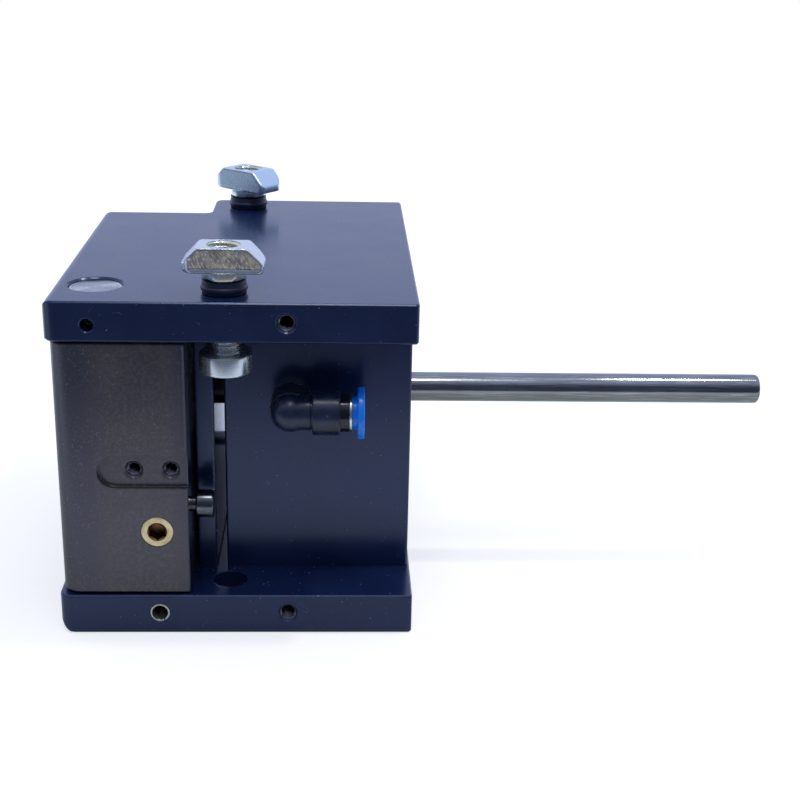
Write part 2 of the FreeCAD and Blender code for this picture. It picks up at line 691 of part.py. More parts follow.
def make_lever():
    tools = slot_cuts() + pivot_cuts() + return_cuts()
    neck = "stop_pin_neck + 2 * seat_clearance"
    pin_at = (STOP_PIN_START, STOP_PIN_Y, STOP_PIN_Z)
    tools.append(cylinder("stop_pin_hole", neck, STOP_PIN_SEAT, pin_at, "X"))
    pad_seat = "pad_diameter + 2 * seat_clearance"
    pad_at = (f"({LEVER_RIGHT} - pad_thickness)", ROD_Y, ROD_Z)
    tools.append(cylinder("pad_seat", pad_seat, "pad_thickness", pad_at, "X"))
    for side, z in nose_screw_heights().items():
        thread = "nose_screw + 2 * thread_clearance"
        depth = "nose_screw_length - nose_thickness + thread_clearance"
        tools.append(cylinder(f"nose_thread_{side}", thread, depth, (NOSE_RIGHT, NOSE_SCREW_Y, z), "X"))
    node("stop_lever", cut("stop_lever", lever_blank(), *tools))
    node("pressure_pad", cylinder("pressure_pad", "pad_diameter", "pad_thickness", pad_at, "X"))
    steps = [
        ("stop_pin_neck", f"({STOP_PIN_SEAT} + stop_pin_neck_length)"),
        ("stop_pin_head", "stop_pin_head_length"),
    ]
    node("stop_pin", turned("stop_pin", steps, pin_at, "X"))


# Stop nose and its countersunk screws
def make_nose():
    corners = rectangle(LEVER_LEFT, NOSE_FRONT, NOSE_RIGHT, LEVER_REAR)
    blank = padded("nose_blank", corners, LEVER_HEIGHT, ("0", "0", LEVER_BOTTOM))
    dress(blank, "Fillet", "nose_corner", at_corner(blank, -1, 1))
    dress(blank, "Chamfer", "edge_break", is_flat)
    sink = "((nose_screw_head - nose_screw) / 2)"
    tools = []
    for side, z in nose_screw_heights().items():
        at = (LEVER_LEFT, NOSE_SCREW_Y, z)
        spare = "2 * thread_clearance"
        head, shank = f"nose_screw_head + {spare}", f"nose_screw + {spare}"
        tools.append(cone(f"nose_sink_{side}", head, shank, sink, at, "X"))
        tools.append(cylinder(f"nose_way_{side}", shank, "nose_thickness", at, "X"))
        name = f"nose_screw_{side}"
        screw_head = cone(f"{name}_head", "nose_screw_head", "nose_screw", sink, at, "X")
        shank_length = f"nose_screw_length - {sink}"
        screw_shank = cylinder(f"{name}_shank", "nose_screw", shank_length, shifted(at, "X", sink), "X")
        socket = hexagon(f"{name}_hex", "nose_screw_socket", sink, at, "X")
        node(name, cut(name, fuse(f"{name}_blank", screw_head, screw_shank), socket))
    node("stop_nose", cut("stop_nose", blank, *tools))


# Spring return: adjuster, spring, plunger and the pin they push on
def make_return():
    front = (ADJUSTER_X, LEVER_FRONT, ADJUSTER_Z)
    blank = cylinder("adjuster_blank", "adjuster_diameter", "adjuster_length", front, "Y")
    socket = hexagon("adjuster_hex", "adjuster_socket", "adjuster_socket_depth", front, "Y")
    node("spring_adjuster", cut("spring_adjuster", blank, socket))
    plunger = "spring_bore - 2 * running_clearance"
    rest = (ADJUSTER_X, PLUNGER_FRONT, ADJUSTER_Z)
    node("spring_plunger", cylinder("spring_plunger", plunger, "plunger_length", rest, "Y"))
    height = f"({ABUTMENT_TOP} - blind_floor)"
    foot = (ADJUSTER_X, ABUTMENT_Y, "blind_floor")
    node("abutment_pin", cylinder("abutment_pin", "abutment_diameter", height, foot))
    radius = "((spring_outside - spring_wire) / 2)"
    margin = "(spring_wire / 2 + spring_seat_gap)"
    length = f"({PLUNGER_FRONT} - {ADJUSTER_END} - 2 * {margin})"
    path = doc.addObject("Part::Helix", "spring_path")
    bind(path, Radius=radius, Height=length, Pitch=f"{length} / spring_turns")
    wire = doc.addObject("Part::Circle", "spring_section")
    bind(wire, Radius="spring_wire / 2")
    wire.Placement = FreeCAD.Placement(FreeCAD.Vector(), FreeCAD.Rotation(FreeCAD.Vector(1, 0, 0), 90))
    bind(wire, **{"Placement.Base.x": radius})
    spring = doc.addObject("Part::Sweep", "return_spring")
    spring.Sections = [wire]
    spring.Spine = (path, ["Edge1"])
    spring.Solid = True
    spring.Frenet = True
    node("return_spring", place(spring, (ADJUSTER_X, f"({ADJUSTER_END} + {margin})", ADJUSTER_Z), "Y"))


# Roll pin that locks the abutment pin from the front edge
def make_roll_pin():
    start = f"({FRONT} + roll_pin_recess)"
    length = f"({ABUTMENT_Y} - abutment_diameter / 2 - plunger_gap - {start})"
    at = (ADJUSTER_X, start, "roll_pin_height")
    tube = cylinder("roll_pin_tube", "roll_pin", length, at, "Y")
    hollow = cylinder("roll_pin_hollow", "roll_pin - 2 * roll_pin_wall", length, at, "Y")
    node("roll_pin", cut("roll_pin", tube, hollow))


def bush(name, start, end):
    """A plain rod bush between two places on the rod's axis."""
    length = f"({end} - {start})"
    at = (start, ROD_Y, ROD_Z)
    blank = cylinder(f"{name}_blank", BUSH_OUTSIDE, length, at, "X")
    node(name, cut(name, blank, cylinder(f"{name}_hole", ROD_HOLE, length, at, "X")))


def seal_ring(name, outer_diameter, middle):
    """An O-ring in a groove, its outside flush with the piece that carries it."""
    node(name, torus(name, f"{outer_diameter} - seal_section", "seal_section", (middle, ROD_Y, ROD_Z), "X"))


def seal_groove(name, outer_diameter, middle):
    start = f"({middle} - seal_groove_width / 2)"
    at = (start, ROD_Y, ROD_Z)
    ring = cylinder(f"{name}_outer", outer_diameter, "seal_groove_width", at, "X")
    core = cylinder(f"{name}_core", f"{outer_diameter} - 2 * seal_groove_depth", "seal_groove_width", at, "X")
    return cut(name, ring, core)


# Piston, its seal and the pin that holds it on the rod
def make_piston():
    outside = "(bore_diameter - 2 * running_clearance)"
    start = (PISTON_LEFT, ROD_Y, ROD_Z)
    blank = turned("piston", [(outside, "piston_thickness"), ("piston_hub", "piston_hub_length")], start, "X")
    middle = f"({PISTON_LEFT} + piston_thickness / 2)"
    rod_way = "rod_diameter + 2 * seat_clearance"
    pin_way = "piston_pin + 2 * seat_clearance"
    pin_foot = (HUB_MID, ROD_Y, f"({ROD_Z} - piston_hub / 2)")
    tools = [
        cylinder("piston_way", rod_way, "piston_thickness + piston_hub_length", start, "X"),
        cylinder("piston_pin_way", pin_way, "piston_hub", pin_foot),
        seal_groove("piston_groove", outside, middle),
    ]
    node("piston", cut("piston", blank, *tools))
    seal_ring("piston_seal", outside, middle)
    inset = "(rod_chamfer / 2)"
    pin_start = (HUB_MID, ROD_Y, f"({ROD_Z} - piston_hub / 2 + {inset})")
    node("piston_pin", cylinder("piston_pin", "piston_pin", f"piston_hub - 2 * {inset}", pin_start))


# Piston rod: a domed tip at the lever, a chamfered free end
def make_rod():
    shank_start = f"({ROD_TIP} + tip_radius - sqrt(tip_radius ^ 2 - rod_diameter ^ 2 / 4))"
    tip = doc.addObject("Part::Sphere", "rod_tip")
    bind(tip, Radius="tip_radius", Angle1="acos(rod_diameter / 2 / tip_radius)")
    place(tip, (f"({ROD_TIP} + tip_radius)", ROD_Y, ROD_Z), "-X")
    chamfer_start = f"({ROD_END} - rod_chamfer)"
    length = f"({chamfer_start} - {shank_start})"
    shank = cylinder("rod_shank", "rod_diameter", length, (shank_start, ROD_Y, ROD_Z), "X")
    end_face = "rod_diameter - 2 * rod_chamfer"
    end = cone("rod_end", "rod_diameter", end_face, "rod_chamfer", (chamfer_start, ROD_Y, ROD_Z), "X")
    pin_way = "piston_pin + 2 * seat_clearance"
    foot = (HUB_MID, ROD_Y, f"({ROD_Z} - rod_diameter / 2)")
    hole = cylinder("rod_pin_way", pin_way, "rod_diameter", foot)
    node("piston_rod", cut("piston_rod", fuse("rod_blank", tip, shank, end), hole))


# End cap with its bush, wiper, O-ring and retaining ring
def make_end_cap():
    outside = "(bore_diameter - 2 * seat_clearance)"
    length = f"({CAP_RIGHT} - {CAP_LEFT})"
    start = (CAP_LEFT, ROD_Y, ROD_Z)
    middle = f"(({CAP_LEFT} + {CAP_RIGHT}) / 2)"
    wiper_at = (WIPER_LEFT, ROD_Y, ROD_Z)
    tools = [
        cylinder("cap_way", BUSH_SEAT, length, start, "X"),
        cylinder("wiper_seat", "wiper_diameter + 2 * seat_clearance", "wiper_length", wiper_at, "X"),
        seal_groove("cap_groove", outside, middle),
    ]
    node("end_cap", cut("end_cap", cylinder("cap_blank", outside, length, start, "X"), *tools))
    seal_ring("end_cap_seal", outside, middle)
    bush("rod_bush_right", CAP_LEFT, WIPER_LEFT)
    bush("rod_bush_left", f"({PARTITION_LEFT} + rod_bush_inset)", BORE_START)
    wiper = cylinder("wiper_blank", "wiper_diameter", "wiper_length", wiper_at, "X")
    node("rod_wiper", cut("rod_wiper", wiper, cylinder("wiper_way", ROD_HOLE, "wiper_length", wiper_at, "X")))
    ring_at = (CAP_RIGHT, ROD_Y, ROD_Z)
    ring_outside = "(bore_diameter + 2 * ring_groove_depth - 2 * seat_clearance)"
    ring = cylinder("ring_blank", ring_outside, "ring_thickness", ring_at, "X")
    inner = cylinder("ring_inner", f"{ring_outside} - 2 * ring_width", "ring_thickness", ring_at, "X")
    gap_low = (CAP_RIGHT, f"({ROD_Y} - ring_mouth / 2)", f"({ROD_Z} - bore_diameter)")
    gap_high = (f"({CAP_RIGHT} + ring_thickness)", f"({ROD_Y} + ring_mouth / 2)", ROD_Z)
    node("retaining_ring", cut("retaining_ring", ring, inner, box("ring_gap", gap_low, gap_high)))


# Push-in elbow: the stud stays in the port, the elbow swivels on its neck
NECK_FRONT = f"({ARM_Y} + neck_end_gap)"
NECK_SEAL_Y = f"({NECK_FRONT} + neck_seal_from_end)"


def neck_groove():
    outer = "neck_diameter"
    width = "(neck_seal_section + 2 * thread_clearance)"
    at = (PORT_X, f"({NECK_SEAL_Y} - {width} / 2)", PORT_Z)
    ring = cylinder("neck_groove_outer", outer, width, at, "Y")
    core = cylinder("neck_groove_core", f"{outer} - 2 * {width}", width, at, "Y")
    return cut("neck_groove", ring, core)


def make_stud():
    start = (PORT_X, NECK_FRONT, PORT_Z)
    steps = [
        ("neck_diameter", f"({COLLAR_FRONT} - {NECK_FRONT})"),
        ("collar_diameter", "collar_length"),
        ("port_thread - 2 * thread_clearance", "(port_depth - thread_clearance)"),
    ]
    length = f"({PORT_BOTTOM} - {NECK_FRONT})"
    way = cylinder("stud_way", "stud_passage", length, start, "Y")
    node("fitting_stud", cut("fitting_stud", turned("fitting_stud", steps, start, "Y"), way, neck_groove()))
    ring = "neck_diameter - neck_seal_section"
    node("elbow_seal", torus("elbow_seal", ring, "neck_seal_section", (PORT_X, NECK_SEAL_Y, PORT_Z), "Y"))


def make_elbow():
    centre = (PORT_X, ARM_Y, PORT_Z)
    knee = doc.addObject("Part::Sphere", "elbow_knee")
    bind(knee, Radius="barrel_diameter / 2")
    place(knee, centre)
    barrel_length = "(elbow_offset - collar_length - elbow_gap)"
    steps = [
        ("barrel_diameter", "sleeve_start"),
        ("sleeve_diameter", "sleeve_length"),
        ("mouth_diameter", "mouth_length"),
    ]
    blank = fuse(
        "elbow_blank",
        knee,
        cylinder("elbow_barrel", "barrel_diameter", barrel_length, centre, "Y"),
        turned("elbow_arm", steps, centre, "X"),
    )
    tube_at = (f"({PORT_X} + tube_stop)", ARM_Y, PORT_Z)
    pocket_at = (f"({RELEASE_START} - release_travel - ring_bore_clearance)", ARM_Y, PORT_Z)
    pocket_width = "release_hub + 2 * ring_bore_clearance"
    seal_x = f"({PORT_X} + tube_seal_at)"
    seal_way = "tube_bore + 2 * tube_seal_section + 2 * thread_clearance"
    seal_width = "(tube_seal_section + 2 * thread_clearance)"
    seal_at = (f"({seal_x} - {seal_width} / 2)", ARM_Y, PORT_Z)
    tools = [
        cylinder("elbow_neck_way", "neck_diameter + 2 * running_clearance", barrel_length, centre, "Y"),
        cylinder("elbow_air_way", "port_passage", "tube_stop", centre, "X"),
        cylinder("elbow_tube_way", "tube_bore", f"{MOUTH_END} - {tube_at[0]}", tube_at, "X"),
        cylinder("elbow_pocket", pocket_width, f"{MOUTH_END} - {pocket_at[0]}", pocket_at, "X"),
        cylinder("tube_seal_way", seal_way, seal_width, seal_at, "X"),
    ]
    node("elbow", cut("elbow", blank, *tools))
    ring = "tube_bore + tube_seal_section"
    node("tube_seal", torus("tube_seal", ring, "tube_seal_section", (seal_x, ARM_Y, PORT_Z), "X"))
    mouth_at = (MOUTH_END, ARM_Y, PORT_Z)
    metal = cylinder("metal_ring_blank", "mouth_diameter", "metal_ring_length", mouth_at, "X")
    metal_way = cylinder("metal_ring_way", pocket_width, "metal_ring_length", mouth_at, "X")
    node("metal_ring", cut("metal_ring", metal, metal_way))


def make_release_ring():
    start = (RELEASE_START, ARM_Y, PORT_Z)
    hub_length = f"({FLANGE_X} - {RELEASE_START})"
    steps = [("release_hub", hub_length), ("release_flange", "release_flange_length")]
    blank = turned("release", steps, start, "X")
    way = cylinder("release_way", "tube_bore", f"{hub_length} + release_flange_length", start, "X")
    node("release_ring", cut("release_ring", blank, way))


# Clamp screws, their sleeves and the hammer nuts
def make_clamp(side, angle):
    y = CLAMP_Y[side]
    name = f"{side}_clamp_screw"
    steps = [("clamp_head", "clamp_head_height"), ("clamp_thread", f"({SCREW_TOP} - {CLAMP_HEAD_TOP})")]
    foot = (CLAMP_X, y, CLAMP_HEAD_BOTTOM)
    socket = hexagon(f"{name}_hex", "clamp_socket", "clamp_socket_depth", foot)
    node(name, cut(name, turned(name, steps, foot), socket))
    name = f"{side}_sleeve"
    at = (CLAMP_X, y, SLEEVE_BOTTOM)
    tube = cylinder(f"{name}_tube", "nut_sleeve", "nut_sleeve_height", at)
    ridge = torus(f"{name}_ridge", "nut_sleeve", "sleeve_ridge", shifted(at, "Z", "nut_sleeve_height / 2"))
    hole = "clamp_thread + 2 * seat_clearance"
    way = cylinder(f"{name}_way", hole, "nut_sleeve_height", at)
    node(name, cut(name, fuse(f"{name}_blank", tube, ridge), way))
    make_nut(f"{side}_nut", (CLAMP_X, y, f"({NUT_BOTTOM} + thread_clearance)"), angle)


def make_nut(name, at, angle):
    """A hammer nut about its own axis, then turned and set on its screw."""
    half, foot, top = "(nut_length / 2)", "(nut_length / 2 - nut_foot_taper)", "(nut_top_length / 2)"
    total = "(nut_collar_height + nut_height)"
    waist = "(nut_collar_height + nut_foot_height)"
    low = "nut_collar_height"
    corners = [
        (f"-{foot}", low), (foot, low), (half, waist), (top, total), (f"-{top}", total), (f"-{half}", waist),
    ]
    profile = padded(f"{name}_profile", corners, "nut_width", ("0", "nut_width / 2", "0"))
    profile.Placement.Rotation = FreeCAD.Rotation(FreeCAD.Vector(1, 0, 0), 90)
    side = "(nut_width / 2)"
    plan = padded(f"{name}_plan", rectangle(f"-{half}", f"-{side}", half, side), total, ("0", "0", "0"))
    opposite = [at_corner(plan, -1, -1), at_corner(plan, 1, 1)]
    dress(plan, "Fillet", "nut_corner", lambda edge: any(test(edge) for test in opposite))
    head = common(f"{name}_head", profile, plan)
    collar = cylinder(f"{name}_collar", "nut_collar", "nut_collar_height", ("0", "0", "0"))
    thread = cylinder(f"{name}_thread", "clamp_thread + 2 * thread_clearance", total, ("0", "0", "0"))
    nut = cut(name, fuse(f"{name}_blank", head, collar), thread)
    place(nut, at)
    nut.setExpression("Placement.Rotation.Angle", formula(angle))
    node(name, nut)


make_top_plate()
make_bottom_plate()
make_cylinder_body()
make_partition()
make_tie_screws()
make_pivot()
make_lever()
make_nose()
make_return()
make_roll_pin()
make_piston()
make_rod()
make_end_cap()
make_stud()
make_elbow()
make_release_ring()
make_clamp("front", "-front_nut_angle")
make_clamp("rear", "-rear_nut_angle")
doc.recompute()

failed = [item.Name for item in doc.Objects if {"Invalid", "Error"} & set(item.State)]
if failed:
    raise RuntimeError(f"features failed: {failed}")
for name, feature in nodes.items():
    shape = feature.Shape
    if shape.isNull() or not shape.isValid() or len(shape.Solids) != 1:
        raise RuntimeError(f"{name} is not one valid solid")

os.makedirs("parts", exist_ok=True)
for name, feature in nodes.items():
    feature.Shape.exportStep(f"parts/{name}.step")
    bounds = feature.Shape.BoundBox
    low = f"{bounds.XMin:.2f}, {bounds.YMin:.2f}, {bounds.ZMin:.2f}"
    high = f"{bounds.XMax:.2f}, {bounds.YMax:.2f}, {bounds.ZMax:.2f}"
    print(f"{name}: {feature.Shape.Volume:.0f} mm3 from ({low}) to ({high})")
print(f"{len(nodes)} sub-parts written")
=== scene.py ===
# %% [markdown]
# # A pneumatic stop cylinder, dressed in Blender
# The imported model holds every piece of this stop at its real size. This lesson adds what a machinist's
# drawing leaves out: threads, rolled edges, plating stains, dust and the light of a small photo table.
# Everything is in metres and in the model's own frame, so a piece goes where its drawing puts it.

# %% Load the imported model
import json
import math

import bpy
from mathutils import Matrix, Vector, noise


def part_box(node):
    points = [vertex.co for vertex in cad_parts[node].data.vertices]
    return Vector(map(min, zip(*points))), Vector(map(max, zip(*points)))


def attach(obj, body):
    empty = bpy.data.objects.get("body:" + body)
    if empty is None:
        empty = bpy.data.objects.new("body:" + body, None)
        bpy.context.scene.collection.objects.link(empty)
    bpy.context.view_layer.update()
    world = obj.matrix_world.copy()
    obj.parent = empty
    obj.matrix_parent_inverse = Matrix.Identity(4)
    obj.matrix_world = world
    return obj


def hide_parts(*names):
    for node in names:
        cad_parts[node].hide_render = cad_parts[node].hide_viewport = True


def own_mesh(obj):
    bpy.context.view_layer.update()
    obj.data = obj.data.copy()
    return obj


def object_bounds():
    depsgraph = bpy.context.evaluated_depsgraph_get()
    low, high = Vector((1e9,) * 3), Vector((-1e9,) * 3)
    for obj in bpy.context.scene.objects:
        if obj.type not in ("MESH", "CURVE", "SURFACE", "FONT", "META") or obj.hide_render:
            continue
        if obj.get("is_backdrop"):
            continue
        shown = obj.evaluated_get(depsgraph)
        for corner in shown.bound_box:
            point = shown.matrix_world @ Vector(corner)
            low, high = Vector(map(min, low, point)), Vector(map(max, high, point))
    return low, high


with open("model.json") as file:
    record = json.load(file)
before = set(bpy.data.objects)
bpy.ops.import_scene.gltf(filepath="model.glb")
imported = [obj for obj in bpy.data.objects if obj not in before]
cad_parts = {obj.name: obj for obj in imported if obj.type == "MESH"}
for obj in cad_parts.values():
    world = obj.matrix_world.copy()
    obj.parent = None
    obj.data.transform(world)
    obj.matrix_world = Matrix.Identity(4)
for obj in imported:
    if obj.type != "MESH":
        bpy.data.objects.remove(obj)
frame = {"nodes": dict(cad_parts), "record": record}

MM = 0.001
scene = bpy.context.scene
cad_low, cad_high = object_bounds()
print("model box in mm:", [round(side / MM, 1) for side in cad_high - cad_low])


def middle_of(node):
    low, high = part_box(node)
    return (low + high) / 2


def size_of(node):
    low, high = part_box(node)
    return high - low


def new_object(name, data):
    item = bpy.data.objects.new(name, data)
    scene.collection.objects.link(item)
    return item


# %% [markdown]
# ## The camera
# The picture that this model follows was taken from a little above, almost square to the front. The place,
# the lens and three small turns were worked out from the corners of the two plates. A matrix built from
# three axes is the plainest way to set them, because no order of turns has to be remembered.

# %% Set the camera
CAMERA_AT = Vector((24.921, -380.244, 180.149)) * MM
CAMERA_LENS, SENSOR_WIDTH, NEAR_CLIP = 63.837, 36.0, 0.01
YAW, PITCH, ROLL = math.radians(2.736), math.radians(19.866), math.radians(-1.325)

forward = Vector((math.sin(YAW) * math.cos(PITCH), math.cos(YAW) * math.cos(PITCH), -math.sin(PITCH)))
level = Vector((math.cos(YAW), -math.sin(YAW), 0.0))
plumb = forward.cross(level)
camera_right = math.cos(ROLL) * level + math.sin(ROLL) * plumb
camera_up = math.sin(ROLL) * level - math.cos(ROLL) * plumb

camera_data = bpy.data.cameras.new("photo_camera")
camera_data.lens = CAMERA_LENS
camera_data.sensor_width = SENSOR_WIDTH
camera_data.clip_start = NEAR_CLIP
camera = new_object("photo_camera", camera_data)
axes = Matrix((camera_right, camera_up, -forward)).transposed()
camera.matrix_world = Matrix.Translation(CAMERA_AT) @ axes.to_4x4()
scene.camera = camera
scene.view_settings.view_transform = "Standard"
print("camera looks along", [round(part, 3) for part in forward])


# %% [markdown]
# ## Small helpers for node trees
# Shader trees get long when each node is placed by hand. These helpers keep them readable: some make a node
# and fill its inputs, some do arithmetic, and others map a range to 0 and 1, mix two colours or look up a
# noise. Each takes plain numbers or sockets and gives back a socket, so they nest like ordinary formulas.
# A socket knows its tree, so only the node that a formula starts from is told which tree it goes in.

# %% Node helpers
def feed(socket, value):
    if isinstance(value, bpy.types.NodeSocket):
        socket.id_data.links.new(value, socket)
    else:
        socket.default_value = value


def make(tree, kind, settings=None, **inputs):
    node = tree.nodes.new("ShaderNode" + kind)
    for name, value in (settings or {}).items():
        setattr(node, name, value)
    for name, value in inputs.items():
        feed(node.inputs[name.replace("_", " ")], value)
    return node


def operate(kind, operation, values):
    tree = next(value.id_data for value in values if isinstance(value, bpy.types.NodeSocket))
    node = make(tree, kind, {"operation": operation})
    for socket, value in zip(node.inputs, values):
        feed(socket, value)
    return node.outputs


def calc(operation, *values):
    return operate("Math", operation, values)[0]


def times(first, second):
    return calc("MULTIPLY", first, second)


def vector(operation, *values):
    output = "Value" if operation in ("DOT_PRODUCT", "LENGTH") else "Vector"
    return operate("VectorMath", operation, values)[output]


def ramp(value, low, high):
    """0 below `low`, 1 above `high`, smooth in between; `low` may be the larger one."""
    smooth = {"interpolation_type": "SMOOTHSTEP"}
    node = make(value.id_data, "MapRange", smooth, Value=value, From_Min=low, From_Max=high)
    return node.outputs[0]


def tint(share, first, second, amount=None):
    """A mix of two colours by a share, or by `amount` times that share."""
    if amount is not None:
        share = times(share, amount)
    node = make(share.id_data, "Mix", {"data_type": "RGBA"})
    for place, value in ((0, share), (6, first), (7, second)):
        feed(node.inputs[place], (*value, 1.0) if isinstance(value, tuple) else value)
    return node.outputs[2]


def total(base, *parts):
    """`base` plus each (mask, amount)."""
    for mask, amount in parts:
        base = calc("ADD", base, times(mask, amount))
    return base


def local_place(tree):
    """The place in the piece's own frame, so that a pattern moves with its piece."""
    return make(tree, "TexCoord").outputs["Object"]


def parts_of(value):
    return make(value.id_data, "SeparateXYZ", Vector=value).outputs


def noise_at(place, scale, detail=2.0):
    return make(place.id_data, "TexNoise", Vector=place, Scale=scale, Detail=detail).outputs["Fac"]


def blotches(place, scale, detail, low, high):
    """Soft-edged patches: 0 where a noise is below `low`, 1 where it is above `high`."""
    return ramp(noise_at(place, scale, detail), low, high)


# %% [markdown]
# ## The photo table: floor, backdrop and lamps
# The object stood on a pale table top. The backdrop behind was bright and a little blue, the room in front
# of the table was dim, and a lamp hung overhead. That is why the top looks slate blue and the fronts grow
# darker upwards, where they mirror the near part of the table. The paper is white to a straight look. To a
# mirrored one it has a painted shadow close to the object, is brighter in front and has a painted blue
# light behind. Two weak lamps add the highlights.

# %% Floor
TABLE_FRONT, TABLE_REAR, TABLE_SIDE = -0.28, 0.75, 0.75
TABLE_FADE, FRONT_FADE = 0.25, 0.15
PAPER_COLOUR = (0.88, 0.88, 0.88, 1.0)
SEEN_SHADE = (0.60, 0.60, 0.60, 1.0)
STRAIGHT_GLOW, FRONT_GLOW = (0.58, 0.58, 0.58), (0.34, 0.38, 0.49)
# Mirrored rays see a painted shadow on the table close to the object and a painted blue light behind it.
NEAR_PAINTED_SHADOW, REAR_PAINTED_LIGHT = (0.10, 0.12, 0.10), (0.70, 0.80, 1.10)
FRONT_TURN, REAR_TURN = (-0.075, -0.105), (0.06, 0.09)

floor_mesh = bpy.data.meshes.new("table_top")
front_corners = [(-TABLE_SIDE, TABLE_FRONT), (TABLE_SIDE, TABLE_FRONT)]
rear_corners = [(TABLE_SIDE, TABLE_REAR), (-TABLE_SIDE, TABLE_REAR)]
floor_mesh.from_pydata([(x, y, cad_low.z) for x, y in front_corners + rear_corners], [], [(0, 1, 2, 3)])
new_object("table_top", floor_mesh)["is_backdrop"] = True


def seen_rays(tree):
    """1 for the rays that show a background: straight, mirrored or through glass."""
    rays = make(tree, "LightPath").outputs
    seen = calc("MAXIMUM", rays["Is Camera Ray"], rays["Is Glossy Ray"])
    return calc("MAXIMUM", seen, rays["Is Transmission Ray"])


def straight_rays(tree):
    return make(tree, "LightPath").outputs["Is Camera Ray"]


def join_shaders(kind, first, second, **inputs):
    node = make(first.id_data, kind, **inputs)
    feed(node.inputs[-2], first)
    feed(node.inputs[-1], second)
    return node.outputs[0]


paper = bpy.data.materials.new("table_paper")
paper.use_nodes = True
tree = paper.node_tree
tree.nodes.remove(tree.nodes["Principled BSDF"])
across = parts_of(local_place(tree))
# Painted shadow near the object, the plain front glow further out, and painted blue light behind.
mirrored = tint(ramp(across["Y"], *FRONT_TURN), NEAR_PAINTED_SHADOW, FRONT_GLOW)
mirrored = tint(ramp(across["Y"], *REAR_TURN), mirrored, REAR_PAINTED_LIGHT)
glow = make(tree, "Emission", Color=tint(straight_rays(tree), mirrored, STRAIGHT_GLOW)).outputs[0]
shaded = make(tree, "BsdfDiffuse", Color=SEEN_SHADE).outputs[0]
lit = make(tree, "BsdfDiffuse", Color=PAPER_COLOUR).outputs[0]
pale = join_shaders("AddShader", shaded, glow)
sheet = join_shaders("MixShader", lit, pale, Fac=seen_rays(tree))
side_fade = ramp(calc("ABSOLUTE", across["X"]), TABLE_SIDE, TABLE_SIDE - TABLE_FADE)
rear_fade = ramp(across["Y"], TABLE_REAR, TABLE_REAR - TABLE_FADE)
front_fade = ramp(across["Y"], TABLE_FRONT, TABLE_FRONT + FRONT_FADE)
kept = times(side_fade, times(rear_fade, front_fade))
clear = make(tree, "BsdfTransparent").outputs[0]
faded = join_shaders("MixShader", clear, sheet, Fac=kept)
feed(tree.nodes["Material Output"].inputs["Surface"], faded)
floor_mesh.materials.append(paper)
print("table reaches from", TABLE_FRONT, "to", TABLE_REAR, "m")

# %% Backdrop and lamps
BACKDROP, SEEN_BACKDROP, WHITE = (0.70, 0.78, 0.98), (0.66, 0.74, 1.06), (1.0, 1.0, 1.0)
DIM_ROOM = (0.10, 0.12, 0.18)
ROOM_LEAN, ROOM_TURN = (0.0, 0.6, 0.8), (-0.2, 0.5)
LAMP_COLOUR = (1.0, 0.98, 0.95)

world = bpy.data.worlds.new("photo_room")
scene.world = world
world.use_nodes = True
tree = world.node_tree
towards_light = vector("DOT_PRODUCT", make(tree, "TexCoord").outputs["Generated"], ROOM_LEAN)
lean = ramp(towards_light, *ROOM_TURN)
shown = tint(straight_rays(tree), tint(lean, DIM_ROOM, SEEN_BACKDROP), WHITE)
room = tint(seen_rays(tree), tint(lean, DIM_ROOM, BACKDROP), shown)
feed(tree.nodes["Background"].inputs["Color"], room)


def hang_lamp(name, at, towards, width, depth, watts):
    data = bpy.data.lights.new(name, "AREA")
    data.shape = "RECTANGLE"
    data.size = width
    data.size_y = depth
    data.energy = watts
    data.color = LAMP_COLOUR
    lamp = new_object(name, data)
    lamp.location = at
    lamp.rotation_euler = (Vector(towards) - Vector(at)).to_track_quat("-Z", "Y").to_euler()


hang_lamp("ceiling_lamp", (0.02, -0.26, 0.9), (0.02, -0.03, 0.05), width=0.26, depth=0.20, watts=1.2)
hang_lamp("side_lamp", (0.36, 0.0, 0.9), (0.10, 0.0, 0.04), width=0.05, depth=0.05, watts=1.6)


# %% [markdown]
# ## Effects that several finishes share
# Worn edges, dust, scratches, grain, lathe marks and plating stains each become a shader node group. A group
# is a small machine with named inputs and outputs: it is built once, then placed in each material with its
# own values. These give out only masks, heights, colours and normals. The shader stays in the material.

# %% A group's shell
def new_group(name, inputs, outputs):
    """An empty group: inputs by their default (a number or three), outputs by their kind."""
    tree = bpy.data.node_groups.new(name, "ShaderNodeTree")
    for label, default in inputs.items():
        kind = "NodeSocketVector" if isinstance(default, tuple) else "NodeSocketFloat"
        tree.interface.new_socket(label, in_out="INPUT", socket_type=kind).default_value = default
    for label, kind in outputs.items():
        tree.interface.new_socket(label, in_out="OUTPUT", socket_type="NodeSocket" + kind)
    given = tree.nodes.new("NodeGroupInput").outputs
    result = tree.nodes.new("NodeGroupOutput").inputs
    return tree, given, result


def use(tree, group, **values):
    """Place a group in a material and set its inputs; gives its outputs."""
    node = tree.nodes.new("ShaderNodeGroup")
    node.node_tree = bpy.data.node_groups[group]
    for label, value in values.items():
        feed(node.inputs[label.replace("_", " ")], value)
    return node.outputs


# %% [markdown]
# ### Worn edges, and a painted edge highlight
# Anodising and plating rub off first where a piece has a corner. The Bevel node looks at the surface a
# little way around each point and gives the normal of a rounded edge. Where that normal leaves the true
# one, there is an edge. The same soft normal also rounds the light on a sharp CAD corner. On the partition
# plate the same mask, wider and stronger, draws a painted highlight along the edges.

# %% Group: worn edges and a painted edge highlight
EDGE_TURN, EDGE_BREAKS = (0.03, 0.25), (0.42, 0.66)
BEVEL_SAMPLES = 6

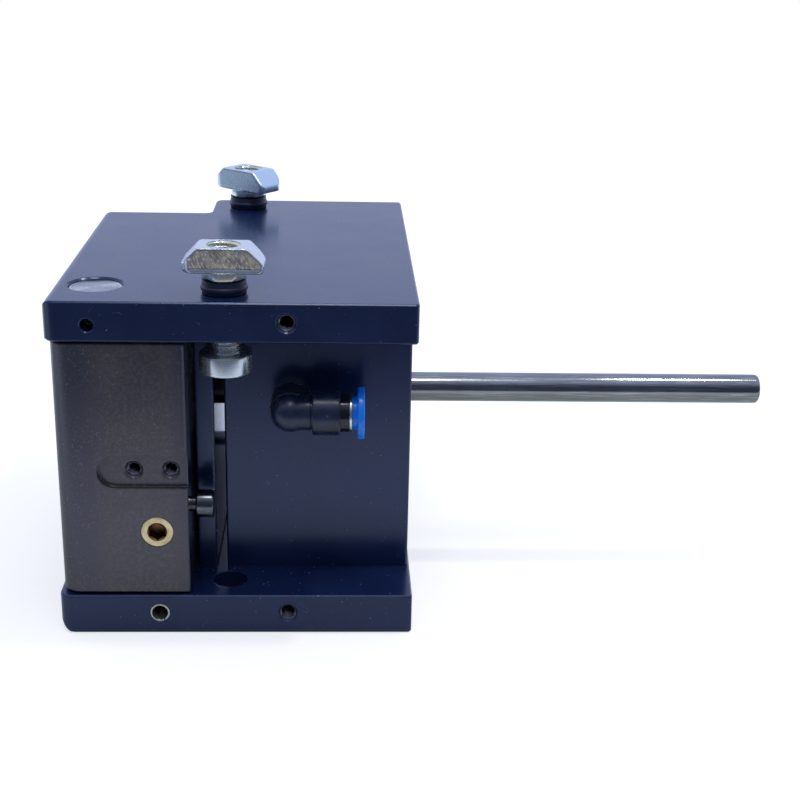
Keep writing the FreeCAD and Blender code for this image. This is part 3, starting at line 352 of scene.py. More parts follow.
tree, given, result = new_group(
    "worn and bright edges", {"Width": 0.0003, "Breaks": 900.0}, {"Wear and highlight": "Float", "Soft normal": "Vector"}
)
rounded = make(tree, "Bevel", {"samples": BEVEL_SAMPLES}, Radius=given["Width"]).outputs[0]
true_normal = make(tree, "NewGeometry").outputs["Normal"]
turn = calc("SUBTRACT", 1.0, vector("DOT_PRODUCT", rounded, true_normal))
breaks = noise_at(local_place(tree), given["Breaks"], detail=3.0)
feed(result["Wear and highlight"], times(ramp(turn, *EDGE_TURN), ramp(breaks, *EDGE_BREAKS)))
feed(result["Soft normal"], rounded)

# %% [markdown]
# ### Dust and lint
# Dark anodising shows every speck. A Voronoi texture scatters points in space, and a speck shows where the
# surface passes close to one. Lint is a thin contour line of a noise, kept only inside small patches of
# another noise, so that it breaks into short bent fibres.

# %% Group: dust and lint
GATHER_SCALE, GATHER_RANGE, LEAST_DUST = 45.0, (0.45, 0.62), 0.3
FIBRE_SCALE, FIBRE_WIDTH = 330.0, (0.006, 0.002)
PATCH_SCALE, PATCH_RANGE, PATCH_SHIFT = 240.0, (0.72, 0.76), (0.31, 0.17, 0.53)

tree, given, result = new_group(
    "dust and lint", {"Spacing": 300.0, "Speck": 0.16, "Lint": 0.5}, {"Specks": "Float", "Lint": "Float"}
)
place = local_place(tree)
cells = make(tree, "TexVoronoi", Vector=place, Scale=given["Spacing"]).outputs
luck = make(tree, "SeparateColor", Color=cells["Color"]).outputs
speck_size = times(given["Speck"], calc("POWER", luck["Red"], 3.0))
speck = ramp(cells["Distance"], speck_size, times(speck_size, 0.5))
gathering = ramp(noise_at(place, GATHER_SCALE), *GATHER_RANGE)
gathered = total(LEAST_DUST, (gathering, 1.0 - LEAST_DUST))
feed(result["Specks"], times(times(speck, luck["Green"]), gathered))
contour = calc("ABSOLUTE", calc("SUBTRACT", noise_at(place, FIBRE_SCALE, detail=1.0), 0.5))
elsewhere = vector("ADD", place, PATCH_SHIFT)
patches = ramp(noise_at(elsewhere, PATCH_SCALE, detail=0.0), *PATCH_RANGE)
fibre = times(ramp(contour, *FIBRE_WIDTH), patches)
feed(result["Lint"], times(fibre, given["Lint"]))

# %% [markdown]
# ### Fine scratches
# Handling leaves hairlines in many directions. A noise that is squeezed hard along one line turns into
# long streaks, and only its highest crests are kept. Two such layers at different slants are enough.

# %% Group: fine scratches
SLANTS = ((0.5, 0.3, 0.9), (0.2, 1.1, -0.6))
SQUEEZE, CREST_WIDTH = (1.0, 28.0, 28.0), 0.02

tree, given, result = new_group("fine scratches", {"Spacing": 60.0, "Rarity": 0.70}, {"Scratches": "Float"})
place = local_place(tree)
layers = []
for slant in SLANTS:
    turned_place = make(tree, "Mapping", Vector=place, Rotation=slant, Scale=SQUEEZE).outputs[0]
    streak = noise_at(turned_place, given["Spacing"], detail=0.0)
    layers.append(ramp(streak, given["Rarity"], calc("ADD", given["Rarity"], CREST_WIDTH)))
feed(result["Scratches"], calc("MAXIMUM", *layers))

# %% [markdown]
# ### Grain
# Etching before anodising leaves a fine even grain, and the dye takes a little unevenly over centimetres.
# One fine noise is the height, and one coarse noise is the mottle.

# %% Group: etched grain
MOTTLE_RANGE = (0.3, 0.7)

tree, given, result = new_group(
    "etched grain", {"Fine": 5200.0, "Broad": 70.0}, {"Height": "Float", "Mottle": "Float"}
)
place = local_place(tree)
feed(result["Height"], noise_at(place, given["Fine"]))
feed(result["Mottle"], ramp(noise_at(place, given["Broad"], detail=3.0), *MOTTLE_RANGE))

# %% [markdown]
# ### Tool lines
# Grinding, turning and sawing all leave lines in one direction. Stretching the coordinates before the noise
# draws them: a large number packs the lines close along that axis, a small one lets them run on. Lathe
# rings are the same idea with the distance from the axis in place of a coordinate.

# %% Groups: tool lines and lathe rings
tree, given, result = new_group("tool lines", {"Stretch": (4000.0, 40.0, 40.0)}, {"Height": "Float"})
place = vector("MULTIPLY", local_place(tree), given["Stretch"])
feed(result["Height"], noise_at(place, scale=1.0, detail=3.0))

tree, given, result = new_group(
    "lathe rings",
    {"Centre": (0.0, 0.0, 0.0), "Axis": (0.0, 0.0, 1.0), "Rings": 3000.0},
    {"Height": "Float"}
)
arm = vector("SUBTRACT", local_place(tree), given["Centre"])
reach = vector("LENGTH", vector("CROSS_PRODUCT", arm, given["Axis"]))
packed = times(reach, given["Rings"])
rings = make(tree, "TexNoise", {"noise_dimensions": "1D"}, W=packed, Scale=1.0)
feed(result["Height"], rings.outputs[0])

# %% [markdown]
# ### Plating stains
# Zinc is passivated in a bath that leaves a film of uneven thickness: mostly a cold blue-white, with straw
# yellow where it dried last. Two noises at different scales choose between the tones.

# %% Group: plating stains
COLD_DARK, COLD_PALE = (0.60, 0.66, 0.68), (0.70, 0.75, 0.76)
BLUE_FILM, STRAW_FILM = (0.50, 0.66, 0.82), (0.78, 0.73, 0.48)
STRAW_FROM, STRAW_GAIN, STRAW_WIDTH = 0.80, 0.6, 0.16
DULL_RANGE = (0.35, 0.8)

tree, given, result = new_group(
    "plating stains", {"Yellow": 0.25, "Blue": 0.0}, {"Colour": "Color", "Dull": "Float"}
)
place = local_place(tree)
patch = noise_at(place, scale=260.0, detail=3.0)
fine = noise_at(place, scale=700.0)
cold = tint(given["Blue"], tint(fine, COLD_DARK, COLD_PALE), BLUE_FILM)
threshold = calc("SUBTRACT", STRAW_FROM, times(given["Yellow"], STRAW_GAIN))
straw = ramp(patch, threshold, calc("ADD", threshold, STRAW_WIDTH))
feed(result["Colour"], tint(straw, cold, STRAW_FILM))
feed(result["Dull"], ramp(fine, *DULL_RANGE))
print("effect groups:", sorted(group.name for group in bpy.data.node_groups))


# %% [markdown]
# ## Finishes
# Most finishes are named after the slot that they fill in the model's record. A few more show on parts of a
# piece, such as a worn plate or a sheared face. A finish starts from a Principled shader. Numbers that are
# the same everywhere sit on its own sockets, and only what changes over the surface comes through nodes.

# %% Start a finish
finishes = {}


def new_finish(name, metallic, ior=1.5):
    material = bpy.data.materials.new(name)
    material.use_nodes = True
    finishes[name] = material
    shader = material.node_tree.nodes["Principled BSDF"]
    shader.inputs["Metallic"].default_value = metallic
    shader.inputs["IOR"].default_value = ior
    return material.node_tree, shader.inputs


def relief(height, depth, edges=None):
    """A bump of a height map that is `depth` deep, over the soft normal of worn edges if they are given."""
    node = make(height.id_data, "Bump", Height=height, Distance=depth, Strength=1.0)
    if edges is not None:
        feed(node.inputs["Normal"], edges["Soft normal"])
    return node.outputs[0]


def dress(slots, colour, roughness, normal):
    feed(slots["Base Color"], colour)
    feed(slots["Roughness"], roughness)
    feed(slots["Normal"], normal)


def settled_dust(tree, spacing, speck, lint):
    dust = use(tree, "dust and lint", Spacing=spacing, Speck=speck, Lint=lint)
    return calc("MAXIMUM", dust["Specks"], dust["Lint"])


def facing_x(tree):
    """How squarely the surface faces along X, from -1 to 1."""
    return parts_of(make(tree, "TexCoord").outputs["Normal"])["X"]


# %% [markdown]
# ### Navy anodised aluminium
# Plates, body and partition are dyed a blue so deep that it reads as black unless something bright is
# mirrored in it. Anodising is a clear oxide over dyed metal, so it is a dielectric with a dark blue base.
# Part of the light reaches the metal and comes back through the dye, so its mirroring is tinted blue. Saw-cut
# sides are smoother than the etched faces. The partition plate gets the same finish with wider, much lighter
# edges, a painted highlight along them.

# %% Navy anodised
NAVY_DEEP, NAVY_PALE = (0.0056, 0.0135, 0.054), (0.0072, 0.0170, 0.066)
NAVY_EDGE, NAVY_DUST = (0.36, 0.38, 0.44), (0.42, 0.42, 0.44)
NAVY_MIRROR = (0.70, 0.77, 1.0, 1.0)
SIDE_FACING = (0.90, 0.98)


def navy(name, edge_width, edge_share):
    tree, slots = new_finish(name, 0.0, ior=1.6)
    slots["Specular Tint"].default_value = NAVY_MIRROR
    edges = use(tree, "worn and bright edges", Width=edge_width)
    dust = settled_dust(tree, spacing=820.0, speck=0.20, lint=0.35)
    grain = use(tree, "etched grain")
    side_milled = ramp(calc("ABSOLUTE", facing_x(tree)), *SIDE_FACING)
    navy_tone = tint(grain["Mottle"], NAVY_DEEP, NAVY_PALE)
    navy_tone = tint(edges["Wear and highlight"], navy_tone, NAVY_EDGE, amount=edge_share)
    colour = tint(dust, navy_tone, NAVY_DUST, amount=0.75)
    rough = total(0.21, (grain["Mottle"], 0.04), (dust, 0.4), (side_milled, -0.11))
    dress(slots, colour, rough, relief(grain["Height"], 0.0012 * MM, edges))


navy("navy_anodised", edge_width=0.35 * MM, edge_share=0.22)
# The partition's finish: its wide, strong light edges are a painted highlight.
navy("navy_painted_edge_highlight", edge_width=0.60 * MM, edge_share=0.70)

# %% [markdown]
# ### Hard-anodised lever
# The lever is another alloy with a thicker, matt coat that turned a warm dark grey. It has a coarser
# speckle and holds more dust, so its mask of specks is denser and its roughness is high all over. Towards
# its two long edges the coat is painted darker and bluer, a painted shade and a painted reflection of the
# dim room on its rounded corners, and the milled side next to the partition is smoother.

# %% Hard-anodised lever
# Darker, bluer coat towards both long edges, fading out over these ranges: painted shade and painted
# reflection.
PAINTED_SHADE_FADE_LEFT, PAINTED_SHADE_FADE_RIGHT = (-37.0 * MM, -29.0 * MM), (-11.5 * MM, -17.0 * MM)
PAINTED_SHADE_DARK, PAINTED_SHADE_PALE = (0.011, 0.014, 0.026), (0.016, 0.018, 0.029)
DULL_DARK, DULL_PALE, SAND = (0.024, 0.0215, 0.0225), (0.041, 0.034, 0.032), (0.070, 0.058, 0.053)
FLECK, LEVER_EDGE, LEVER_DUST = (0.20, 0.185, 0.18), (0.34, 0.34, 0.36), (0.45, 0.44, 0.43)
LEVER_MIRROR = (0.97, 0.92, 1.0, 1.0)

tree, slots = new_finish("lever_anodised", 0.0, ior=1.74)
slots["Specular Tint"].default_value = LEVER_MIRROR
edges = use(tree, "worn and bright edges", Width=0.45 * MM)
dust = settled_dust(tree, spacing=800.0, speck=0.24, lint=0.35)
grain = use(tree, "etched grain", Fine=3600.0, Broad=110.0)
place = local_place(tree)
clusters = blotches(place, scale=60.0, detail=3.0, low=0.40, high=0.62)
flecks = times(blotches(place, scale=2300.0, detail=1.0, low=0.60, high=0.72), clusters)
sand = blotches(place, scale=1100.0, detail=3.0, low=0.42, high=0.68)
across = parts_of(place)["X"]
# Painted shade and reflection: the darker, bluer coat near both long edges.
outside_painted_shade = times(ramp(across, *PAINTED_SHADE_FADE_LEFT), ramp(across, *PAINTED_SHADE_FADE_RIGHT))
painted_shade_coat = tint(grain["Mottle"], PAINTED_SHADE_DARK, PAINTED_SHADE_PALE)
dull = tint(sand, tint(clusters, DULL_DARK, DULL_PALE), SAND, amount=0.7)
lever_tone = tint(flecks, tint(outside_painted_shade, painted_shade_coat, dull), FLECK, amount=0.42)
lever_tone = tint(edges["Wear and highlight"], lever_tone, LEVER_EDGE, amount=0.30)
lever_tone = tint(dust, lever_tone, LEVER_DUST, amount=0.6)
milled = ramp(facing_x(tree), *SIDE_FACING)
rough = total(0.28, (grain["Mottle"], 0.04), (flecks, 0.15), (dust, 0.3), (milled, -0.18))
dress(slots, lever_tone, rough, relief(grain["Height"], 0.003 * MM, edges))

# %% [markdown]
# ### Zinc plate, cold and yellow
# Screws and nuts are zinc plated. The flat faces are a cold white, the rear nut came bluer out of its bath,
# and threads and undersides kept a yellow film. One function makes all three, because only the shares of
# yellow and blue and the roughness differ.

# %% Zinc-plated steel
ZINC_METAL = 0.8
ZINC_EDGE, ZINC_HAIR = (0.86, 0.90, 0.96), (0.40, 0.43, 0.50)


def zinc(name, yellow, blue, roughness):
    tree, slots = new_finish(name, ZINC_METAL)
    stains = use(tree, "plating stains", Yellow=yellow, Blue=blue)
    edges = use(tree, "worn and bright edges", Width=0.25 * MM, Breaks=1500.0)
    hairs = use(tree, "fine scratches", Spacing=90.0, Rarity=0.76)["Scratches"]
    grain = use(tree, "etched grain", Fine=2600.0)
    colour = tint(edges["Wear and highlight"], stains["Colour"], ZINC_EDGE, amount=0.6)
    colour = tint(hairs, colour, ZINC_HAIR, amount=0.3)
    rough = total(roughness, (stains["Dull"], 0.07), (hairs, 0.1))
    dress(slots, colour, rough, relief(grain["Height"], 0.0006 * MM, edges))


zinc("zinc_steel", yellow=0.12, blue=0.0, roughness=0.19)
zinc("blue_zinc", yellow=0.0, blue=0.75, roughness=0.25)
zinc("yellow_zinc", yellow=0.55, blue=0.0, roughness=0.22)

# %% [markdown]
# ### The sheared face of a hammer nut
# Hammer nuts are cut from a rolled bar, and the cut tears the steel in upright streaks. Plating takes badly
# there, so the face is a dull brown and yellow. Squeezed noise draws the streaks, for colour and relief.

# %% Sheared steel
TEAR_LEAN, TEAR_STRETCH = (0.0, 0.45, 0.0), (4200.0, 800.0, 1000.0)
BROWN, YELLOWED, TORN_BRIGHT = (0.34, 0.29, 0.26), (0.62, 0.55, 0.41), (0.90, 0.86, 0.72)

tree, slots = new_finish("sheared_steel", 1.0)
place = local_place(tree)
leaning = make(tree, "Mapping", Vector=place, Rotation=TEAR_LEAN).outputs[0]
torn = noise_at(vector("MULTIPLY", leaning, TEAR_STRETCH), scale=1.0, detail=3.0)
rust = tint(blotches(place, scale=520.0, detail=3.0, low=0.35, high=0.68), BROWN, YELLOWED)
colour = tint(ramp(torn, 0.50, 0.70), rust, TORN_BRIGHT)
rough = total(0.32, (ramp(torn, 0.3, 0.7), 0.16))
dress(slots, colour, rough, relief(torn, 0.05 * MM))

# %% [markdown]
# ### Ground and turned steel
# The rod is drawn and polished, which leaves fine lines along it and a grey shine. Its stretch in the bushes
# is worn bright. The pivot pin's end is faced on a lathe. Its rings spread the light into a bow tie, which
# the shader's own anisotropy gives when its tangent runs around the pin's axis.

# %% Ground steel, and the faced end of a pin
ROD_DARK, ROD_PALE, ROD_HAIR = (0.23, 0.233, 0.237), (0.28, 0.283, 0.288), (0.62, 0.62, 0.63)
BRIGHT_DARK, BRIGHT_PALE = (0.56, 0.60, 0.68), (0.64, 0.67, 0.74)
FACED_DARK, FACED_PALE = (0.34, 0.35, 0.38), (0.56, 0.57, 0.60)

tree, slots = new_finish("ground_steel", 1.0)
lines = use(tree, "tool lines", Stretch=(45.0, 3000.0, 3000.0))["Height"]
hairs = use(tree, "fine scratches", Spacing=110.0, Rarity=0.68)["Scratches"]
smear = use(tree, "etched grain", Broad=55.0)["Mottle"]
colour = tint(hairs, tint(smear, ROD_DARK, ROD_PALE), ROD_HAIR, amount=0.3)
rough = total(0.10, (lines, 0.06), (smear, 0.04))
dress(slots, colour, rough, relief(lines, 0.0015 * MM))

tree, slots = new_finish("bright_steel", 1.0)
lines = use(tree, "tool lines", Stretch=(3000.0, 60.0, 60.0))["Height"]
smear = use(tree, "etched grain", Broad=90.0)["Mottle"]
colour = tint(smear, BRIGHT_DARK, BRIGHT_PALE)
dress(slots, colour, total(0.20, (lines, 0.08)), relief(lines, 0.001 * MM))

tree, slots = new_finish("faced_steel", 1.0)
rings = use(tree, "lathe rings", Centre=middle_of("pivot_pin"), Rings=3200.0)["Height"]
colour = tint(ramp(rings, 0.3, 0.7), FACED_DARK, FACED_PALE)
dress(slots, colour, total(0.34, (rings, 0.16)), relief(rings, 0.006 * MM))
feed(slots["Tangent"], make(tree, "Tangent", {"direction_type": "RADIAL", "axis": "Z"}).outputs[0])
slots["Anisotropic"].default_value = 0.9

# %% [markdown]
# ### Dark steel and spring steel
# The stop pin and the nose are hardened and blackened, then polished where parts strike them. Spring steel
# stays a plain grey with a rolled surface.

# %% Blackened steel and spring steel
BLACK_DEEP, BLACK_PALE, BLACK_RUBBED = (0.10, 0.105, 0.115), (0.155, 0.16, 0.17), (0.46, 0.46, 0.47)
DRAWN_DARK, DRAWN_PALE, DRAWN_EDGE = (0.50, 0.50, 0.48), (0.66, 0.65, 0.61), (0.82, 0.81, 0.78)

tree, slots = new_finish("dark_steel", 1.0)
edges = use(tree, "worn and bright edges", Width=0.3 * MM)
smear = use(tree, "etched grain", Broad=160.0)
hairs = use(tree, "fine scratches", Spacing=120.0, Rarity=0.67)["Scratches"]
rubbed = calc("MAXIMUM", edges["Wear and highlight"], times(hairs, 0.2))
colour = tint(rubbed, tint(smear["Mottle"], BLACK_DEEP, BLACK_PALE), BLACK_RUBBED)
rough = total(0.17, (smear["Mottle"], 0.10))
dress(slots, colour, rough, relief(smear["Height"], 0.0008 * MM, edges))

tree, slots = new_finish("spring_steel", 1.0)
edges = use(tree, "worn and bright edges", Width=0.15 * MM)
smear = use(tree, "etched grain", Fine=2600.0, Broad=300.0)
colour = tint(edges["Wear and highlight"], tint(smear["Mottle"], DRAWN_DARK, DRAWN_PALE), DRAWN_EDGE)
rough = total(0.24, (smear["Mottle"], 0.12))
dress(slots, colour, rough, relief(smear["Height"], 0.002 * MM, edges))

# %% [markdown]
# ### Brass, bronze, nickel and plain aluminium
# These metals are all turned on a lathe. One function gives them their two tones, their rings around an
# axis and a few stains. The axis is the piece's own, so each gets its rings where the tool made them. Brass
# comes twice: the inside of the key socket is a dark brown, a painted shade in that recess.

# %% Turned metals
def turned_metal(name, light, dark, roughness, axis_node, axis):
    tree, slots = new_finish(name, 1.0)
    rings = use(tree, "lathe rings", Centre=middle_of(axis_node), Axis=axis, Rings=3600.0)["Height"]
    stain = use(tree, "etched grain", Fine=2400.0, Broad=420.0)["Mottle"]
    edges = use(tree, "worn and bright edges", Width=0.2 * MM)
    colour = tint(rings, tint(stain, light, dark), dark, amount=0.4)
    rough = total(roughness, (stain, 0.12), (rings, 0.08))
    dress(slots, colour, rough, relief(rings, 0.004 * MM, edges))


turned_metal("brass", (0.80, 0.70, 0.42), (0.62, 0.50, 0.24), 0.30, "spring_adjuster", (0, 1, 0))
# Dark brown for the inside of the key socket: painted shade in the recess.
turned_metal("brass_painted_socket_shade", (0.30, 0.16, 0.06), (0.14, 0.06, 0.02), 0.28, "spring_adjuster", (0, 1, 0))
turned_metal("bronze", (0.56, 0.40, 0.24), (0.36, 0.24, 0.13), 0.42, "pivot_bush_upper", (0, 0, 1))
turned_metal("nickel_brass", (0.78, 0.77, 0.72), (0.62, 0.61, 0.56), 0.16, "metal_ring", (1, 0, 0))
turned_metal("plain_aluminium", (0.80, 0.80, 0.81), (0.66, 0.66, 0.68), 0.30, "piston", (1, 0, 0))

# %% [markdown]
# ### Moulded plastics and rubber
# The elbow and the sleeves are black glass-filled nylon: satin, slightly cloudy, with dust. The elbow's
# collar is glossy, the release ring is a blue acetal that lets a little light in, and rubber is the same
# recipe, duller. One function with two tones, a roughness and a dust share covers all four.

# %% Plastics and rubber
PLASTIC_DUST = (0.45, 0.45, 0.46)
SCATTER_REACH, SCATTER_SCALE = (0.2, 0.4, 1.0), 0.6 * MM


def moulded(name, colour, cloudy, roughness, dust_share, depth=0.004, scatter=0.0):
    tree, slots = new_finish(name, 0.0, ior=1.5)
    grain = use(tree, "etched grain", Fine=2200.0, Broad=240.0)
    edges = use(tree, "worn and bright edges", Width=0.25 * MM)
    tone = tint(grain["Mottle"], colour, cloudy)
    tone = tint(edges["Wear and highlight"], tone, cloudy, amount=0.25)
    dust = times(settled_dust(tree, spacing=700.0, speck=0.22, lint=0.4), dust_share)
    rough = total(roughness, (grain["Mottle"], 0.10), (dust, 0.3))
    bumps = relief(grain["Height"], depth * MM, edges)
    dress(slots, tint(dust, tone, PLASTIC_DUST), rough, bumps)
    slots["Subsurface Weight"].default_value = scatter
    slots["Subsurface Radius"].default_value = SCATTER_REACH
    slots["Subsurface Scale"].default_value = SCATTER_SCALE


moulded("black_plastic", (0.008, 0.014, 0.036), (0.014, 0.023, 0.058), 0.24, 0.5, depth=0.0025)
moulded("glossy_plastic", (0.005, 0.007, 0.012), (0.009, 0.011, 0.018), 0.06, 0.2, depth=0.0004)
moulded("blue_plastic", (0.004, 0.21, 0.90), (0.008, 0.27, 0.96), 0.20, 0.25, depth=0.001, scatter=0.2)
moulded("rubber", (0.018, 0.018, 0.019), (0.030, 0.030, 0.031), 0.62, 0.4)
print("finishes:", ", ".join(finishes))


# %% [markdown]
# ## How turned pieces are made
# Most pieces here come off a lathe, or could. One function spins a list of rings, each a height and a
# radius, about an axis. Both may also be functions of the angle, and then the same function gives a hexagon
# socket, a screw thread or the slanted outline of a hammer nut. A piece that stands for a drawn one starts
# where that one's axis starts. A last helper gives some of a piece's faces another finish.

# %% Spin rings into a mesh
SIDES = {
    "X": (Vector((0, 1, 0)), Vector((0, 0, 1)), Vector((1, 0, 0))),
    "Y": (Vector((0, 0, 1)), Vector((1, 0, 0)), Vector((0, 1, 0))),
    "Z": (Vector((1, 0, 0)), Vector((0, 1, 0)), Vector((0, 0, 1))),
}
SMOOTH_BELOW = math.radians(32)


def smoothed(mesh):
    mesh.shade_smooth()
    mesh.set_sharp_from_angle(angle=SMOOTH_BELOW)
    return mesh


def new_mesh(name, points, faces):
    mesh = bpy.data.meshes.new(name)
    mesh.from_pydata(points, [], faces)
    return smoothed(mesh)


def spun_mesh(name, rings, at, along, steps=96, loop=False):
    """A mesh from (height, radius) rings about an axis; radius 0 is a pole, `loop` joins last to first."""
    across, beside, axis = SIDES[along]
    points, faces, rows = [], [], []
    for height, radius in rings:
        count = 1 if radius == 0 else steps
        rows.append([len(points) + number for number in range(count)])
        for number in range(count):
            angle = 2 * math.pi * number / steps
            reach = radius(angle) if callable(radius) else radius
            level = height(angle) if callable(height) else height
            outwards = across * math.cos(angle) + beside * math.sin(angle)
            points.append(Vector(at) + axis * level + outwards * reach)
    for lower, upper in zip(rows, rows[1:] + (rows[:1] if loop else [])):
        for number in range(steps):
            after = (number + 1) % steps
            corners = [lower[number % len(lower)], lower[after % len(lower)],
                       upper[after % len(upper)], upper[number % len(upper)]]
            corners = list(dict.fromkeys(corners))
            if len(corners) > 2:
                faces.append(corners)
    return new_mesh(name, points, faces)


def new_piece(mesh, body, slot, *nodes, finish=None):
    """Put a mesh in the scene as a piece that moves with a body and stands for CAD nodes."""
    piece = new_object(mesh.name, mesh)
    mesh.materials.append(finishes[finish or slot])
    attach(piece, body)
    if nodes:
        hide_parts(*nodes)
    return piece


def turned_piece(name, node, along, rings, body, slot, **spin):
    """Spin rings about a node's own axis, from where it starts, as a piece that stands for the node."""
    start, number = middle_of(node), "XYZ".index(along)
    start[number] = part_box(node)[0][number]
    return new_piece(spun_mesh(name, rings, start, along, **spin), body, slot, node)


def refinish(piece, finish, is_other):
    """Give the faces that pass a test another finish."""
    number = len(piece.data.materials)
    piece.data.materials.append(finishes[finish])
    for face in piece.data.polygons:
        if is_other(face):
            face.material_index = number


# %% [markdown]
# Four makers of rings follow. `eased` rounds the corners of a profile, because no real edge is sharp.
# `thread` winds a V groove: the radius depends on both the height and the angle. `hexagon` is the outline
# of a key as a radius at each angle, and `socket` is the hole that the key goes in.

# %% Rings for edges, threads and key sockets
CREST_FLAT, FLANK_WIDTH = 0.12, 0.76
MOUTH_SHARE = 0.4


def eased(corners, steps=4):
    """A profile of (height, radius, rounding) corners as rings, each corner turned into an arc."""
    rings = []
    for number, (height, radius, ease) in enumerate(corners):
        here = Vector((height, radius))
        if ease == 0:
            rings.append((height, radius))
            continue
        back = (Vector(corners[number - 1][:2]) - here).normalized()
        on = (Vector(corners[(number + 1) % len(corners)][:2]) - here).normalized()
        for step in range(steps + 1):
            share = step / steps
            point = here + back * ease * (1 - share) ** 2 + on * ease * share ** 2
            rings.append((point.x, point.y))
    return rings


def thread(start, end, crest, root, pitch, taper, rows=10):
    """Rings of a V thread from one height to another; `taper` runs both ends out to the root."""
    rings = []
    count = max(2, round(abs(end - start) / pitch * rows))
    for number in range(count + 1):
        height = start + (end - start) * number / count
        ends = min(abs(height - start), abs(end - height))
        depth = min(1.0, ends / taper)

        def radius(angle, height=height, depth=depth):
            wave = abs(2 * ((height / pitch - angle / (2 * math.pi)) % 1.0) - 1.0)
            flank = min(1.0, max(0.0, (wave - CREST_FLAT) / FLANK_WIDTH))
            return root + (crest - root) * flank * depth

        rings.append((height, radius))
    return rings


def hexagon(across_flats):
    sixth = math.pi / 3
    return lambda angle: across_flats / 2 / math.cos((angle % sixth) - sixth / 2)


def socket(depth, across_flats, chamfer):
    """Rings of a key socket, from the pole of its floor to its round mouth at height 0."""
    sides = hexagon(across_flats)
    mouth = across_flats / math.sqrt(3) + chamfer * MOUTH_SHARE
    return [(depth + chamfer, 0), (depth, sides), (chamfer, sides), (0.0, mouth)]


print("edge of a 5 mm key:", round(hexagon(5.0)(0.0), 3), "mm from the middle to a corner")

# %% [markdown]
# ## Clamp screws
# Two low-head screws hang the unit in a T-slot. The head sits under the top plate, and its key socket opens
# downwards, over the access hole. The threads are wound for real, because they show above the head. The
# head is cold zinc and the thread and the head's shoulder kept their yellow film.

# %% Clamp screws
SCREW_PITCH, THREAD_DEPTH, THREAD_TAPER = 1.25 * MM, 0.62 * MM, 0.5 * MM
HEAD_HEIGHT, HEAD_EASE = 5.0 * MM, 0.5 * MM
CLAMP_KEY, KEY_DEPTH, KEY_CHAMFER = 5.0 * MM, 2.8 * MM, 0.3 * MM
SHANK_RADIUS = 4.0 * MM
YELLOW_ABOVE = HEAD_HEIGHT - 0.6 * HEAD_EASE


def clamp_screw(side):
    node = f"{side}_clamp_screw"
    size, foot = size_of(node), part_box(node)[0].z
    head, length, root = size.x / 2, size.z, SHANK_RADIUS - THREAD_DEPTH
    neck = HEAD_HEIGHT + 0.6 * MM
    rings = socket(KEY_DEPTH, CLAMP_KEY, KEY_CHAMFER)
    rings += eased([(0.0, CLAMP_KEY, 0), (0.0, head, HEAD_EASE), (HEAD_HEIGHT, head, HEAD_EASE),
                    (HEAD_HEIGHT, SHANK_RADIUS, 0.25 * MM), (neck, SHANK_RADIUS - 0.1 * MM, 0)])
    start, end = HEAD_HEIGHT + 0.8 * MM, length - 0.9 * MM
    rings += thread(start, end, SHANK_RADIUS, root, SCREW_PITCH, THREAD_TAPER)
    rings += [(length - 0.3 * MM, root - 0.25 * MM), (length, root - 0.6 * MM), (length, 0)]
    piece = turned_piece(f"{side}_low_head_screw", node, "Z", rings, f"{side}_clamp", "zinc_steel")
    refinish(piece, "yellow_zinc", lambda face: face.center.z - foot > YELLOW_ABOVE)
    return piece


for side in ("front", "rear"):
    print(clamp_screw(side).name, "has", len(bpy.data.meshes[f"{side}_low_head_screw"].polygons), "faces")

# %% [markdown]
# ## Sleeves
# A short black sleeve keeps each screw from falling through the plate. It is a moulded ring with one round
# ridge that grips, a little below its middle.

# %% Sleeves under the nuts
RIDGE_HALF, BEAD_HALF, BEAD_TALL, BEAD_AT = 0.35 * MM, 0.25 * MM, 0.60 * MM, 0.40
SLEEVE_WALL, BEAD_STEPS = 1.47 * MM, 12


def sleeve(side):
    node = f"{side}_sleeve"
    size = size_of(node)
    height, outer = size.z, size.x / 2 - RIDGE_HALF
    inner = outer - SLEEVE_WALL
    bead = []
    for step in range(BEAD_STEPS + 1):
        turn = math.pi * step / BEAD_STEPS - math.pi / 2
        bead.append((BEAD_AT * height + BEAD_TALL * math.sin(turn), outer + BEAD_HALF * math.cos(turn)))
    rings = eased([(0.0, inner, 0.1 * MM), (0.0, outer, 0.25 * MM)]) + bead
    rings += eased([(height, outer, 0.3 * MM), (height, inner, 0.1 * MM)])
    name, body = f"{side}_grip_sleeve", f"{side}_clamp"
    return turned_piece(name, node, "Z", rings, body, "black_plastic", loop=True)


for side in ("front", "rear"):
    print(sleeve(side).name, "stands on the top plate")

# %% [markdown]
# ## Hammer nuts
# A hammer nut drops into the slot lengthwise and turns a quarter to lock. Seen from above it is a rounded
# bar. Seen from the front its ends slope in towards the top. At each height its outline is a rectangle that
# shrinks upwards, cut by the rounded plan, so the radius at an angle is the smaller of the two. A collar
# below is swaged over the sleeve, and its edge is wavy.

# %% Outline of a hammer nut
NUT_HALF_LENGTH, NUT_HALF_WIDTH, NUT_PLAN_CORNER = 10.1 * MM, 4.9 * MM, 3.5 * MM
NUT_TOP_HALF, NUT_FOOT_HALF = 6.1 * MM, 9.4 * MM
COLLAR_HEIGHT, WAIST_HEIGHT, NUT_HEIGHT = 2.0 * MM, 4.2 * MM, 8.3 * MM
WAIST_ROUND, PLAN_ROUND = 0.22 * MM, 0.10 * MM
NUT_EDGE, NUT_TOP_EDGE = 0.80 * MM, 0.34 * MM
TINY = 1e-9


